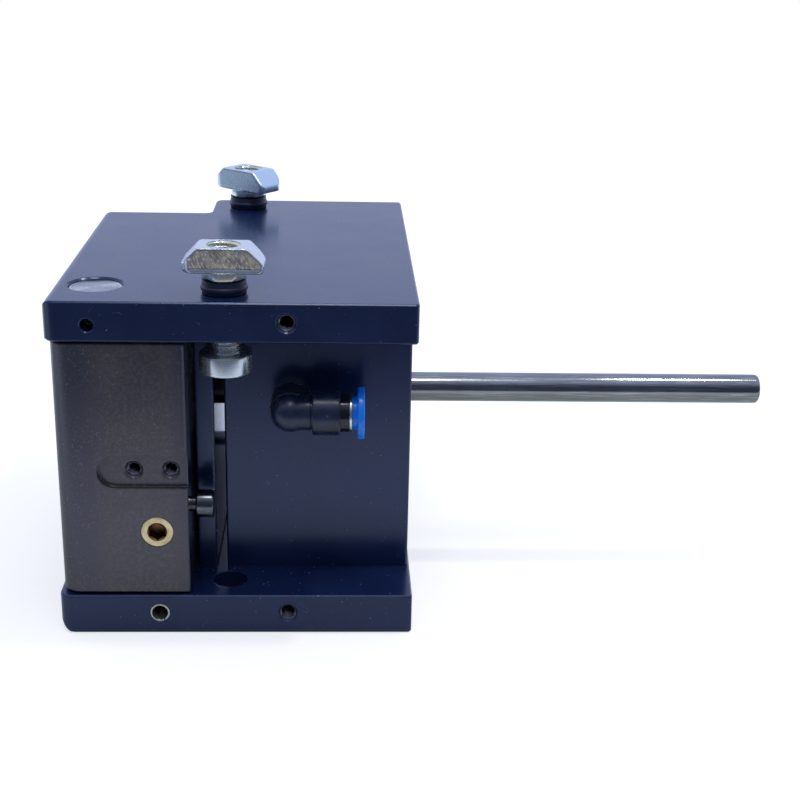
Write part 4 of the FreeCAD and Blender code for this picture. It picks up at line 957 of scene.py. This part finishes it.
def rounded_rectangle(half_x, half_y, corner, angle):
    """Distance from the middle of a rectangle with rounded corners to its edge, at an angle."""
    ray = Vector((abs(math.cos(angle)), abs(math.sin(angle))))
    reach = min(half_x / max(ray.x, TINY), half_y / max(ray.y, TINY))
    middle = Vector((half_x - corner, half_y - corner))
    hit = ray * reach
    if hit.x > middle.x and hit.y > middle.y:
        along = ray.dot(middle)
        off_line = middle.length_squared - along * along
        reach = along + math.sqrt(max(0.0, corner * corner - off_line))
    return reach


def soft_least(first, second, rounding):
    """The smaller of two lengths, with a rounded change from one to the other."""
    return min(first, second) - rounding * math.log(1 + math.exp(-abs(first - second) / rounding))


def nut_half_length(height):
    """Half the nut's length at a height: out to a rounded waist, then in along the slope."""
    rise = min(1.0, (height - COLLAR_HEIGHT) / (WAIST_HEIGHT - COLLAR_HEIGHT))
    foot = NUT_FOOT_HALF + (NUT_HALF_LENGTH - NUT_FOOT_HALF) * math.sqrt(rise)
    share = (height - WAIST_HEIGHT) / (NUT_HEIGHT - WAIST_HEIGHT)
    slope = NUT_HALF_LENGTH + (NUT_TOP_HALF - NUT_HALF_LENGTH) * share
    return soft_least(foot, slope, WAIST_ROUND)


def nut_outline(height, inset):
    half_x, half_y = nut_half_length(height) - inset, NUT_HALF_WIDTH - inset

    def radius(angle):
        is_rounded_corner = math.sin(2 * angle) > 0
        plan_corner = NUT_PLAN_CORNER if is_rounded_corner else 2 * NUT_EDGE
        block = rounded_rectangle(half_x, half_y, NUT_EDGE, angle)
        plan = rounded_rectangle(NUT_HALF_LENGTH - inset, half_y, plan_corner, angle)
        return soft_least(block, plan, PLAN_ROUND)

    return radius


# %% [markdown]
# The rings run once around the nut's section: down the threaded hole, out under the collar, up the wavy
# collar, out under the foot, up the side and back over the top. A rounded edge is a list of (rise, inset)
# shares of its size.

# %% Rings of a hammer nut
COLLAR_RADIUS, NUT_HOLE, NUT_THREAD_DEPTH = 5.2 * MM, 4.05 * MM, 2.7 * MM
LIP_WAVE, COLLAR_SWELL, MOST_SWELL, WAVE_LUMPS = 0.42 * MM, 0.40 * MM, 0.05 * MM, 2.2
COLLAR_STEPS = ((0.0, 0.55), (0.25, 0.12), (0.8, 0.0), (1.7, 0.05), (2.3, 0.15))
FOOT_EDGE = ((0.0, 1.0), (0.12, 0.45), (0.4, 0.12), (1.0, 0.0))
TOP_EDGE = ((0.6, 0.12), (0.88, 0.45), (1.0, 1.0))
SIDE_RINGS = 16


def wavy(amount, seed):
    """A smooth closed wave over the angle, from a noise walked around a circle."""
    def wave(angle):
        return amount * noise.noise((WAVE_LUMPS * math.cos(angle), WAVE_LUMPS * math.sin(angle), seed))
    return wave


def collar_ring(height, inset, lip, swell):
    """A ring of the collar: its height and its radius both waver."""
    def level(angle):
        return height + max(0.0, lip(angle)) * (1 - height / COLLAR_HEIGHT)

    def radius(angle):
        return COLLAR_RADIUS - inset + min(MOST_SWELL, swell(angle))

    return level, radius


def nut_rings(seed):
    thread_top, thread_end = NUT_HEIGHT - 0.3 * MM, NUT_HEIGHT - NUT_THREAD_DEPTH
    crest, root = NUT_HOLE - THREAD_DEPTH, NUT_HOLE + 0.05 * MM
    rings = [(thread_top, root)] + thread(thread_top, thread_end, crest, root, SCREW_PITCH, taper=0.4 * MM)
    rings += [(thread_end - 0.1 * MM, NUT_HOLE), (0.3 * MM, NUT_HOLE), (0.0, NUT_HOLE + 0.3 * MM)]
    lip, swell = wavy(LIP_WAVE, seed), wavy(COLLAR_SWELL, seed + 9.0)
    rings += [collar_ring(height * MM, inset * MM, lip, swell) for height, inset in COLLAR_STEPS]
    foot = nut_outline(COLLAR_HEIGHT, NUT_EDGE)
    rings.append((COLLAR_HEIGHT, lambda angle: min(COLLAR_RADIUS - 0.2 * MM, foot(angle))))
    side_start, side_top = COLLAR_HEIGHT + NUT_EDGE, NUT_HEIGHT - NUT_TOP_EDGE
    levels = [(COLLAR_HEIGHT + rise * NUT_EDGE, inset * NUT_EDGE) for rise, inset in FOOT_EDGE]
    for number in range(1, SIDE_RINGS + 1):
        levels.append((side_start + (side_top - side_start) * number / SIDE_RINGS, 0.0))
    levels += [(side_top + rise * NUT_TOP_EDGE, inset * NUT_TOP_EDGE) for rise, inset in TOP_EDGE]
    rings += [(height, nut_outline(height, inset)) for height, inset in levels]
    return rings + [(NUT_HEIGHT, NUT_HOLE + 0.10 * MM), (NUT_HEIGHT - 0.08 * MM, NUT_HOLE + 0.05 * MM)]


# %% [markdown]
# The front nut's long front face is the sheared one. It lies a little behind a lip that the shear left at
# the foot, and it has the torn steel. The collar and the hole kept their yellow film.

# %% Hammer nuts
NUT_STEPS = 240
NUT_TURNS = {"front": math.radians(-1.5), "rear": math.radians(-39.0)}
NUT_FINISH = {"front": "zinc_steel", "rear": "blue_zinc"}
SHEAR_FOOT, SHEAR_DEPTH, FACING_FRONT = 1.05 * MM, 0.45 * MM, -0.97
TEAR_DEPTH, TEAR_SCALE, TEAR_TALL = 0.08 * MM, 900.0, 0.4


def shear(mesh):
    """Push the long front face back, most at its foot, and roughen it; gives its faces."""
    start, end = COLLAR_HEIGHT + SHEAR_FOOT, NUT_HEIGHT - NUT_TOP_EDGE
    sheared = {face.index for face in mesh.polygons
               if face.normal.y < FACING_FRONT and start < face.center.z < end}
    for corner in {corner for index in sheared for corner in mesh.polygons[index].vertices}:
        point = mesh.vertices[corner].co
        tear = noise.noise(Vector((point.x, point.y, point.z * TEAR_TALL)) * TEAR_SCALE)
        point.y += SHEAR_DEPTH * (end - point.z) / (end - start) + TEAR_DEPTH * tear
    return sheared


def hammer_nut(side, seed):
    node = f"{side}_nut"
    middle, foot = middle_of(f"{side}_clamp_screw"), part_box(node)[0].z
    mesh = spun_mesh(f"{side}_hammer_nut", nut_rings(seed), (0, 0, 0), "Z", steps=NUT_STEPS, loop=True)
    sheared = shear(mesh) if side == "front" else set()
    turned = Matrix.Rotation(NUT_TURNS[side], 4, "Z")
    mesh.transform(Matrix.Translation((middle.x, middle.y, foot)) @ turned)
    piece = new_piece(mesh, node, "zinc_steel", node, finish=NUT_FINISH[side])

    def is_yellow(face):
        in_hole = (face.center.xy - middle.xy).length < NUT_HOLE + 0.09 * MM
        on_collar = face.center.z < foot + COLLAR_HEIGHT - 0.1 * MM
        return face.index not in sheared and (in_hole or on_collar)

    refinish(piece, "sheared_steel", lambda face: face.index in sheared)
    refinish(piece, "yellow_zinc", is_yellow)
    return piece


for side, seed in (("front", 3.0), ("rear", 17.0)):
    print(hammer_nut(side, seed).name, "turned", round(math.degrees(NUT_TURNS[side]), 1), "degrees")

# %% [markdown]
# ## Push-in elbow
# The elbow is one moulding: a domed knee with a thin ridge, a barrel and an arm that ends in a glossy collar.
# Two spun shapes are joined by a boolean union, which is how the mould's cavity was made too. The pocket
# inside stays open for the release ring and the tube.

# %% Elbow
KNEE_REACH, KNEE_RADIUS, BARREL_RADIUS, KNEE_STEPS = 5.2 * MM, 4.85 * MM, 5.08 * MM, 16
RIDGE_START, RIDGE_END, BARREL_START = 0.1 * MM, 0.7 * MM, 0.8 * MM
ARM_ROOT, NECK_RADIUS, ARM_RADIUS, MOUTH_RADIUS = 0.5 * MM, 4.45 * MM, 5.6 * MM, 4.8 * MM
GROOVE_DEPTH, GROOVE_WIDTH = 0.2 * MM, 0.4 * MM
ARM_START, ARM_END, MOUTH_END = 5.4 * MM, 12.3 * MM, 14.6 * MM
TUBE_RADIUS, POCKET_RADIUS, POCKET_START, TUBE_STOP = 3.05 * MM, 4.3 * MM, 9.5 * MM, 3.4 * MM
STUD_HOLE = 3.28 * MM


def carved(name, mesh, tools, operation):
    """A mesh joined with others, or with holes cut by them."""
    base = new_object(name + "_base", mesh)
    others = [new_object(f"{name}_tool_{number}", tool) for number, tool in enumerate(tools)]
    for other in others:
        step = base.modifiers.new("step", "BOOLEAN")
        step.operation = operation
        step.solver = "EXACT"
        step.object = other
    bpy.context.view_layer.update()
    made = bpy.data.meshes.new_from_object(base.evaluated_get(bpy.context.evaluated_depsgraph_get()))
    made.name = name
    for item in [base] + others:
        bpy.data.objects.remove(item)
    return smoothed(made)


def barrel_rings(end):
    """A half dome, a thin ridge and a straight barrel."""
    rings = [(-KNEE_RADIUS, 0)]
    for step in range(1, KNEE_STEPS + 1):
        turn = math.pi / 2 * (step / KNEE_STEPS - 1)
        rings.append((KNEE_RADIUS * math.sin(turn), KNEE_RADIUS * math.cos(turn)))
    rings += eased([(0.0, KNEE_RADIUS, 0), (RIDGE_START, KNEE_REACH, 0.15 * MM),
                    (RIDGE_END, KNEE_REACH, 0.2 * MM), (BARREL_START, BARREL_RADIUS, 0.05 * MM),
                    (end, BARREL_RADIUS, 0.06 * MM), (end, STUD_HOLE, 0)])[1:]
    return rings + [(end, 0)]


def arm_rings():
    """A neck, a groove, the arm and its collar, then back down the pocket and the tube's way."""
    groove, neck_end = NECK_RADIUS - GROOVE_DEPTH, ARM_START - GROOVE_WIDTH
    rings = eased([
        (ARM_ROOT, NECK_RADIUS, 0), (neck_end, NECK_RADIUS, 0.1 * MM), (neck_end, groove, 0),
        (ARM_START, groove, 0), (ARM_START, ARM_RADIUS, 0.45 * MM), (ARM_END, ARM_RADIUS, 0.35 * MM),
        (ARM_END, MOUTH_RADIUS, 0.05 * MM), (MOUTH_END, MOUTH_RADIUS, 0.25 * MM),
        (MOUTH_END, POCKET_RADIUS, 0.05 * MM), (POCKET_START, POCKET_RADIUS, 0),
        (POCKET_START, TUBE_RADIUS, 0), (TUBE_STOP, TUBE_RADIUS, 0)])
    return [(ARM_ROOT, 0)] + rings + [(TUBE_STOP, 0)]


def elbow():
    low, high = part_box("elbow")
    ring_middle = middle_of("metal_ring")
    knee = Vector((low.x + KNEE_REACH, ring_middle.y, ring_middle.z))
    barrel_end = high.y - knee.y
    past = barrel_end + 1.0 * MM
    hole = [(BARREL_START, 0), (BARREL_START, STUD_HOLE), (past, STUD_HOLE), (past, 0)]
    barrel = spun_mesh("barrel", barrel_rings(barrel_end), knee, "Y")
    solid = carved("elbow_solid", barrel, [spun_mesh("arm", arm_rings(), knee, "X")], "UNION")
    mesh = carved("moulded_elbow", solid, [spun_mesh("stud_hole", hole, knee, "Y", steps=48)], "DIFFERENCE")
    piece = new_piece(mesh, "elbow", "black_plastic", "elbow")

    def is_glossy(face):
        at = face.center - knee
        on_ridge = at.x < 2.0 * MM and 0.0 < at.y < BARREL_START
        return on_ridge or at.x > ARM_END + 0.05 * MM

    refinish(piece, "glossy_plastic", is_glossy)
    return piece


print(elbow().name, "has", len(bpy.data.meshes["moulded_elbow"].vertices), "points")

# %% [markdown]
# ## Bright ring and release ring
# A thin nickel ring closes the mouth, and the blue release ring slides in it. Pushing the ring's flange
# frees the tube. Both are plain rings with eased edges. The flange is a little dished on its outer face, so
# that a fingertip finds it.

# %% Bright ring and release ring
HUB_RADIUS, FLANGE_LENGTH, DISH_DEPTH, DISH_STEPS = 4.2 * MM, 1.8 * MM, 0.35 * MM, 6


def bright_ring():
    size = size_of("metal_ring")
    length, outer = size.x, size.y / 2
    rings = eased([(0.0, POCKET_RADIUS, 0.05 * MM), (0.0, outer, 0.12 * MM),
                   (length, outer, 0.2 * MM), (length, POCKET_RADIUS, 0.1 * MM)])
    return turned_piece("bright_mouth_ring", "metal_ring", "X", rings, "elbow", "nickel_brass", loop=True)


def release_ring():
    size = size_of("release_ring")
    length, flange = size.x, size.y / 2
    back = length - FLANGE_LENGTH
    rings = eased([(0.0, TUBE_RADIUS, 0.1 * MM), (0.0, HUB_RADIUS, 0.3 * MM), (back, HUB_RADIUS, 0.3 * MM),
                   (back, flange, 0.45 * MM), (length, flange, 0.6 * MM),
                   (length - DISH_DEPTH, HUB_RADIUS, 0.3 * MM), (length, TUBE_RADIUS + 0.5 * MM, 0.2 * MM),
                   (length - 0.3 * MM, TUBE_RADIUS, 0.2 * MM)], steps=DISH_STEPS)
    return turned_piece("blue_release_ring", "release_ring", "X", rings, "release_ring", "blue_plastic",
                        loop=True)


print(bright_ring().name, "and", release_ring().name)

# %% [markdown]
# ## Brass adjuster
# The brass set screw in the lever sets the spring. Its face is flat with an eased rim, and the key socket's
# mouth is countersunk to a circle, so only the deep part shows six sides. The thread is wound on it as on
# the screws, although the lever hides most of it.

# %% Brass adjuster
ADJUSTER_KEY, ADJUSTER_KEY_DEPTH, ADJUSTER_CHAMFER = 4.0 * MM, 4.0 * MM, 0.4 * MM
ADJUSTER_PITCH, ADJUSTER_GROOVE, RIM_EASE = 1.0 * MM, 0.5 * MM, 0.14 * MM


def brass_adjuster():
    node = "spring_adjuster"
    size, middle, front = size_of(node), middle_of(node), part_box(node)[0].y
    length, radius = size.y, size.z / 2
    rim, root = radius - 0.02 * MM, radius - ADJUSTER_GROOVE
    rings = socket(ADJUSTER_KEY_DEPTH, ADJUSTER_KEY, ADJUSTER_CHAMFER)
    rings += eased([(0.0, ADJUSTER_KEY / 2 + 1.0 * MM, 0), (0.0, rim, RIM_EASE), (0.6 * MM, rim, 0)])
    rings += thread(0.7 * MM, length - 0.6 * MM, radius, root, ADJUSTER_PITCH, taper=0.4 * MM)
    rings += [(length - 0.5 * MM, root), (length, radius - 0.9 * MM), (length, 0)]
    piece = turned_piece("brass_adjuster", node, "Y", rings, "adjuster", "brass")

    def is_socket(face):
        off_axis = (face.center.xz - middle.xz).length
        depth = face.center.y - front
        return off_axis < ADJUSTER_KEY / 2 + 0.45 * MM and 0.15 * MM < depth < length / 2 + 1.0 * MM

    # The socket's inside is painted dark, a painted shade in the recess.
    refinish(piece, "brass_painted_socket_shade", is_socket)
    return piece


print(brass_adjuster().name, "sits in the lever")

# %% [markdown]
# ## Return spring
# Behind the adjuster a coil spring pushes the plunger out. Its end coils lie close and are ground flat, so
# that it stands square. A wire's round section is carried along the helix, and what sticks out past the ends
# is flattened.

# %% Return spring
WIRE_RADIUS, SPRING_TURNS, END_TURNS = 0.5 * MM, 5.5, 0.75
TURN_STEPS, WIRE_SIDES = 40, 12


def helix_height(turn, length):
    """Height of the wire's middle: close coils at both ends, an even pitch between them."""
    close = 2 * WIRE_RADIUS * END_TURNS
    share = (turn - END_TURNS) / (SPRING_TURNS - 2 * END_TURNS)
    if share < 0:
        return close * turn / END_TURNS
    if share > 1:
        return length - close * (SPRING_TURNS - turn) / END_TURNS
    return close + (length - 2 * close) * share


def return_spring():
    low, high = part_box("return_spring")
    middle = middle_of("return_spring")
    coil = (high.x - low.x) / 2 - WIRE_RADIUS
    length = high.y - low.y - WIRE_RADIUS
    count = round(SPRING_TURNS * TURN_STEPS)
    points, faces = [], []
    for number in range(count + 1):
        turn = number / TURN_STEPS
        angle = 2 * math.pi * turn
        for side in range(WIRE_SIDES):
            around = 2 * math.pi * side / WIRE_SIDES
            reach = coil + WIRE_RADIUS * math.cos(around)
            along = low.y + WIRE_RADIUS / 2 + helix_height(turn, length) + WIRE_RADIUS * math.sin(around)
            flat = min(high.y, max(low.y, along))
            points.append((middle.x + reach * math.cos(angle), flat, middle.z + reach * math.sin(angle)))
    for number in range(count):
        for side in range(WIRE_SIDES):
            after = (side + 1) % WIRE_SIDES
            row, following = number * WIRE_SIDES, (number + 1) * WIRE_SIDES
            faces.append((row + side, row + after, following + after, following + side))
    faces.append(tuple(reversed(range(WIRE_SIDES))))
    faces.append(tuple(range(count * WIRE_SIDES, (count + 1) * WIRE_SIDES)))
    coils = new_mesh("coiled_return_spring", points, faces)
    piece = new_piece(coils, "lever", "spring_steel", "return_spring")
    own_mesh(piece)
    return piece


print(return_spring().name, "has", SPRING_TURNS, "turns")

# %% [markdown]
# ## Stop pin, pivot, rod and roll pin
# Four steel pins follow. The stop pin has a polished head on a thin neck. The pivot's end is faced flat with
# a small bevel. The rod is long and plain, with a rounded free end and a domed tip that pushes the lever.
# Where it runs in its bushes it is worn bright, which shows in the gap beside the partition.
# The roll pin is a rolled spring tube, so its section is a ring with a slit.

# %% Stop pin, pivot pin and piston rod
STOP_NECK, STOP_HEAD = 2.0 * MM, 4.4 * MM
TIP_DOME, DOME_STEPS = 8.0 * MM, 8
END_ROUND, BRIGHT_UNTIL = 1.3 * MM, 15.0 * MM


def stop_pin():
    size = size_of("stop_pin")
    length, head = size.x, size.z / 2
    shoulder = length - STOP_HEAD
    rings = eased([(0.0, STOP_NECK, 0.2 * MM), (shoulder, STOP_NECK, 0.2 * MM), (shoulder, head, 0.4 * MM),
                   (length, head, 0.5 * MM), (length, head / 2, 0)])
    rings = [(0.0, 0)] + rings + [(length, 0)]
    return turned_piece("polished_stop_pin", "stop_pin", "X", rings, "lever", "dark_steel")


def pivot_pin():
    size = size_of("pivot_pin")
    length, radius = size.z, size.x / 2
    rings = [(0.0, 0)]
    rings += eased([(0.0, radius, 0.5 * MM), (length, radius, 0.3 * MM), (length, radius * 0.5, 0)])
    rings += [(length, radius * 0.1), (length - 0.01 * MM, 0)]
    piece = turned_piece("faced_pivot_pin", "pivot_pin", "Z", rings, "housing", "ground_steel")
    refinish(piece, "faced_steel", lambda face: face.normal.z > 0.5)
    return piece


def piston_rod():
    size = size_of("piston_rod")
    length, radius = size.x, size.z / 2
    rings = [(0.0, 0)]
    for step in range(1, DOME_STEPS + 1):
        reach = radius * step / DOME_STEPS
        rings.append((TIP_DOME - math.sqrt(TIP_DOME * TIP_DOME - reach * reach), reach))
    bright_end = BRIGHT_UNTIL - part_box("piston_rod")[0].x
    rings += eased([(TIP_DOME, radius, 0), (bright_end, radius, 0), (length, radius, END_ROUND),
                    (length, radius * 0.4, 0)], steps=8)
    rings.append((length, 0))
    piece = turned_piece("ground_piston_rod", "piston_rod", "X", rings, "piston", "ground_steel")
    refinish(piece, "bright_steel", lambda face: face.center.x < BRIGHT_UNTIL)
    return piece


print(stop_pin().name, pivot_pin().name, piston_rod().name)

# %% Roll pin
PIN_WALL, PIN_EASE, PIN_STEPS = 0.5 * MM, 0.14 * MM, 60
SLIT_HALF, SLIT_AT = math.radians(3.5), math.radians(300)


def roll_pin():
    """A rolled tube: one C-shaped section drawn along the hole, its rims eased."""
    low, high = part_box("roll_pin")
    middle, outer = middle_of("roll_pin"), (high.z - low.z) / 2
    inner, sweep = outer - PIN_WALL, 2 * math.pi - 2 * SLIT_HALF
    turns = [SLIT_AT + SLIT_HALF + sweep * number / PIN_STEPS for number in range(PIN_STEPS + 1)]
    layers = [(low.y, PIN_EASE), (low.y + PIN_EASE * 0.4, PIN_EASE * 0.3), (low.y + PIN_EASE, 0.0),
              (high.y - PIN_EASE, 0.0), (high.y, PIN_EASE)]
    points, rows, faces = [], [], []
    for depth, trim in layers:
        section = [(outer - trim, turn) for turn in turns]
        section += [(inner + trim, turn) for turn in reversed(turns)]
        rows.append([len(points) + number for number in range(len(section))])
        for reach, turn in section:
            points.append((middle.x + reach * math.cos(turn), depth, middle.z + reach * math.sin(turn)))
    width = len(rows[0])
    for near, far in zip(rows, rows[1:]):
        for number in range(width):
            after = (number + 1) % width
            faces.append((near[number], near[after], far[after], far[number]))
    for row, is_front in ((rows[0], True), (rows[-1], False)):
        for number in range(PIN_STEPS):
            quad = (row[number], row[width - 1 - number], row[width - 2 - number], row[number + 1])
            faces.append(quad if is_front else quad[::-1])
    return new_piece(new_mesh("slit_roll_pin", points, faces), "housing", "spring_steel", "roll_pin")


print(roll_pin().name, "is", round(size_of("roll_pin").y / MM, 1), "mm long")

# %% [markdown]
# ## Screws that hold it together
# Four cap screws come up from below, two countersunk screws hold the nose, and a tiny set screw locks the
# pivot. A cap screw's head is knurled, which here is a ripple in the radius.

# %% Cap screws, countersunk screws and set screw
CAP_SHANK, CAP_HEAD_HEIGHT, CAP_THREAD = 3.0 * MM, 6.0 * MM, 18.0 * MM
KNURL_DEPTH, KNURL_TEETH = 0.18 * MM, 24
SUNK_SHANK, SINK = 2.5 * MM, 2.2 * MM


def cap_screw(number):
    node = f"tie_screw_{number}"
    size = size_of(node)
    head, length, shank, top = size.x / 2, size.z, CAP_SHANK, CAP_HEAD_HEIGHT

    def knurl(angle):
        return head - KNURL_DEPTH * abs(math.sin(KNURL_TEETH * angle))

    rings = socket(depth=3.0 * MM, across_flats=5.0 * MM, chamfer=0.3 * MM)
    rings += [(0.0, head - 0.9 * MM), (0.1 * MM, head - 0.5 * MM), (0.5 * MM, knurl),
              (top - 0.3 * MM, knurl), (top, head - 0.4 * MM), (top, shank + 0.2 * MM),
              (top + 0.2 * MM, shank)]
    start, root = length - CAP_THREAD, shank - 0.5 * MM
    rings.append((start, shank))
    end = length - 0.6 * MM
    rings += thread(start + 0.2 * MM, end, shank, root, pitch=1.0 * MM, taper=0.4 * MM, rows=6)
    rings += [(length - 0.5 * MM, root), (length, shank - 0.9 * MM), (length, 0)]
    return turned_piece(f"cap_screw_{number}", node, "Z", rings, "housing", "zinc_steel")


def sunk_screw(side):
    node = f"nose_screw_{side}"
    size = size_of(node)
    head, length, shank = size.z / 2, size.x, SUNK_SHANK
    rings = socket(depth=1.9 * MM, across_flats=3.0 * MM, chamfer=0.2 * MM)
    rings += eased([(0.0, 2.2 * MM, 0), (0.0, head, 0.12 * MM), (SINK, shank, 0.2 * MM),
                    (SINK + 1.0 * MM, shank, 0)])
    start, end = SINK + 1.2 * MM, length - 0.5 * MM
    rings += thread(start, end, shank, shank - 0.42 * MM, pitch=0.8 * MM, taper=0.3 * MM)
    rings += [(length - 0.4 * MM, shank - 0.45 * MM), (length, shank - 0.8 * MM), (length, 0)]
    return turned_piece(f"sunk_screw_{side}", node, "X", rings, "lever", "zinc_steel")


def set_screw():
    size = size_of("pivot_set_screw")
    radius, length = size.z / 2, size.y
    rings = socket(depth=1.6 * MM, across_flats=1.5 * MM, chamfer=0.1 * MM)
    rings += [(0.0, radius - 0.35 * MM), (0.2 * MM, radius - 0.3 * MM)]
    end, root = length - 0.6 * MM, radius - 0.28 * MM
    rings += thread(0.3 * MM, end, radius, root, pitch=0.5 * MM, taper=0.2 * MM)
    rings += [(length - 0.5 * MM, radius - 0.3 * MM), (length, radius - 0.7 * MM), (length, 0)]
    return turned_piece("cup_set_screw", "pivot_set_screw", "Y", rings, "housing", "dark_steel", steps=48)


screws = [cap_screw(number) for number in range(1, 5)]
screws += [sunk_screw(side) for side in ("lower", "upper")]
screws.append(set_screw())
print("screws:", [piece.name for piece in screws])

# %% [markdown]
# ## Retaining ring and wiper
# The end cap is held by a ring that springs into a groove. Pliers close it by two lugs with holes, on either
# side of its gap. The wiper is a rubber ring with a lip that scrapes the rod. Both show from the right.

# %% Retaining ring
CLIP_WIDTH, CLIP_SLIM, LUG_REACH, LUG_OWN = 3.9 * MM, 0.9 * MM, 6.3 * MM, 3.9 * MM
CLIP_GAP, LUG_WIDTH, LUG_BLEND = math.radians(14), math.radians(19), math.radians(5)
EYE_RADIUS, EYE_INSET, EYE_PAST = 1.0 * MM, 2.2 * MM, 1.0 * MM
CLIP_STEPS, RIM_BEVEL = 120, 0.12 * MM


def clip_inner(turn, outer):
    """The ring's inner radius at a turn from the middle of its gap: lugs beside it, slim lips opposite."""
    from_gap = min(turn, 2 * math.pi - turn) - CLIP_GAP
    share = min(1.0, max(0.0, (LUG_WIDTH - from_gap) / LUG_BLEND))
    slim = CLIP_SLIM * (1 - abs(turn - math.pi) / math.pi)
    return outer - CLIP_WIDTH + slim - (LUG_REACH - LUG_OWN) * share * share * (3 - 2 * share)


def retaining_ring():
    low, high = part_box("retaining_ring")
    middle, outer = middle_of("piston_rod"), (high.y - low.y) / 2

    def across(reach, turn):
        angle = turn - math.pi / 2
        return middle.y + reach * math.cos(angle), middle.z + reach * math.sin(angle)

    sweep = 2 * math.pi - 2 * CLIP_GAP
    turns = [CLIP_GAP + sweep * number / CLIP_STEPS for number in range(CLIP_STEPS + 1)]
    outline = [across(outer, turn) for turn in turns]
    outline += [across(clip_inner(turn, outer), turn) for turn in reversed(turns)]
    width = len(outline)
    points = [(x, y, z) for x in (low.x, high.x) for y, z in outline]
    faces = []
    for number in range(width):
        after = (number + 1) % width
        faces.append((number, width + number, width + after, after))
    for start, is_right in ((0, False), (width, True)):
        for number in range(CLIP_STEPS):
            quad = [start + place for place in (number, number + 1, width - 2 - number, width - 1 - number)]
            faces.append(quad[::-1] if is_right else quad)
    eye_end = high.x - low.x + 2 * EYE_PAST
    eye = [(0, 0), (0, EYE_RADIUS), (eye_end, EYE_RADIUS), (eye_end, 0)]
    eyes = []
    for turn in (CLIP_GAP + LUG_WIDTH / 2, -CLIP_GAP - LUG_WIDTH / 2):
        at = (low.x - EYE_PAST, *across(outer - LUG_REACH + EYE_INSET, turn))
        eyes.append(spun_mesh("eye", eye, at, "X", steps=32))
    return carved("lugged_retaining_ring", new_mesh("ring_blank", points, faces), eyes, "DIFFERENCE")


circlip = new_piece(retaining_ring(), "housing", "spring_steel", "retaining_ring")
rim = circlip.modifiers.new("rounded rim", "BEVEL")
rim.width = RIM_BEVEL
rim.segments = 2
rim.limit_method = "ANGLE"
print(circlip.name, "has", len(circlip.data.polygons), "faces")

# %% Wiper
WIPER_BORE, LIP_ROOT, VALLEY = 4.03 * MM, 0.9 * MM, 1.1 * MM


def wiper():
    size = size_of("rod_wiper")
    length, outer, inner = size.x, size.y / 2, WIPER_BORE
    floor = length - VALLEY
    rings = eased([(0.0, inner + LIP_ROOT, 0), (0.0, outer, 0.1 * MM), (length, outer, 0.3 * MM),
                   (length, outer - 0.9 * MM, 0.2 * MM), (floor, outer - 1.3 * MM, 0.3 * MM),
                   (floor, inner + LIP_ROOT, 0.3 * MM), (length, inner + 0.35 * MM, 0.1 * MM),
                   (length, inner, 0.08 * MM), (length - 0.8 * MM, inner + 0.2 * MM, 0)])
    return turned_piece("lip_wiper", "rod_wiper", "X", rings, "housing", "rubber", loop=True)


print(wiper().name, "hugs the rod")

# %% [markdown]
# ## Threads in the tapped holes
# Two holes in the plates' front edges and two in the lever's slot are tapped. A thin threaded lining in each
# makes the bright and dark rings that show a tapped hole from outside. Its dark blackened-steel finish is a
# painted shade inside the hole.

# %% Tapped holes
LINING, HOLE_GAP = 0.12 * MM, 0.02 * MM
CREST_SHARE = 0.55


def tapped(name, body, mouth, depth, radius, pitch):
    """A threaded lining that goes from a hole's mouth to a depth along +Y."""
    outer = radius - HOLE_GAP
    root = outer - LINING
    wound = thread(0.1 * MM, depth, root - CREST_SHARE * pitch, root, pitch, taper=0.3 * MM, rows=8)
    rings = [(0.0, outer), (depth, outer)] + wound[::-1]
    # The dark blackened-steel finish paints the shade inside the hole.
    return new_piece(spun_mesh(name, rings, mouth, "Y", steps=48, loop=True), body, "dark_steel")


by_name = {mount["name"]: mount for mount in frame["record"]["mounts"]}
for place_name in ("accessory_top", "accessory_bottom"):
    at = by_name[place_name]["pos_m"]
    mouth = (at[0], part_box("top_plate")[0].y + 0.6 * MM, at[2])
    tapped(f"{place_name}_thread", "housing", mouth, depth=10.5 * MM, radius=2.1 * MM, pitch=0.8 * MM)
pad = by_name["lever_pad"]
for hand, sign in (("left", -1), ("right", 1)):
    x = pad["pos_m"][0] + sign * pad["dims"]["spacing_x_mm"] / 2 * MM
    mouth = (x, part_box("stop_lever")[0].y + 2.3 * MM, pad["pos_m"][2])
    tapped(f"slot_thread_{hand}", "lever", mouth, depth=6.5 * MM, radius=1.75 * MM, pitch=0.7 * MM)
print("tapped holes lined: 4")

# %% [markdown]
# ## Finishes for the pieces that stay as they are
# Plates, body, lever and most inner pieces have the right shape already. Each gets the finish of its slot in
# the record, so a piece that only shows when the stop is opened is finished as well.

# %% Finish the CAD pieces
# The partition plate takes the navy finish with a painted edge highlight.
OWN_FINISH = {"partition_plate": "navy_painted_edge_highlight"}

for entry in frame["record"]["subparts"]:
    item = frame["nodes"][entry["node"]]
    finish = finishes[OWN_FINISH.get(entry["node"], entry["material_slot"])]
    if not item.material_slots:
        item.data.materials.append(finish)
    for material_slot in item.material_slots:
        material_slot.material = finish

# %% [markdown]
# ## How far the dressed model grew
# The dressed model is meant to stay in the box of the drawn one. Both boxes are measured, and the growth
# past the drawn box on each side is printed in millimetres.

# %% Measure how far the model grew
final_low, final_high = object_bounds()
grown = (*(cad_low - final_low), *(final_high - cad_high))
print("grown by, in mm:", [round(part / MM, 3) for part in grown])
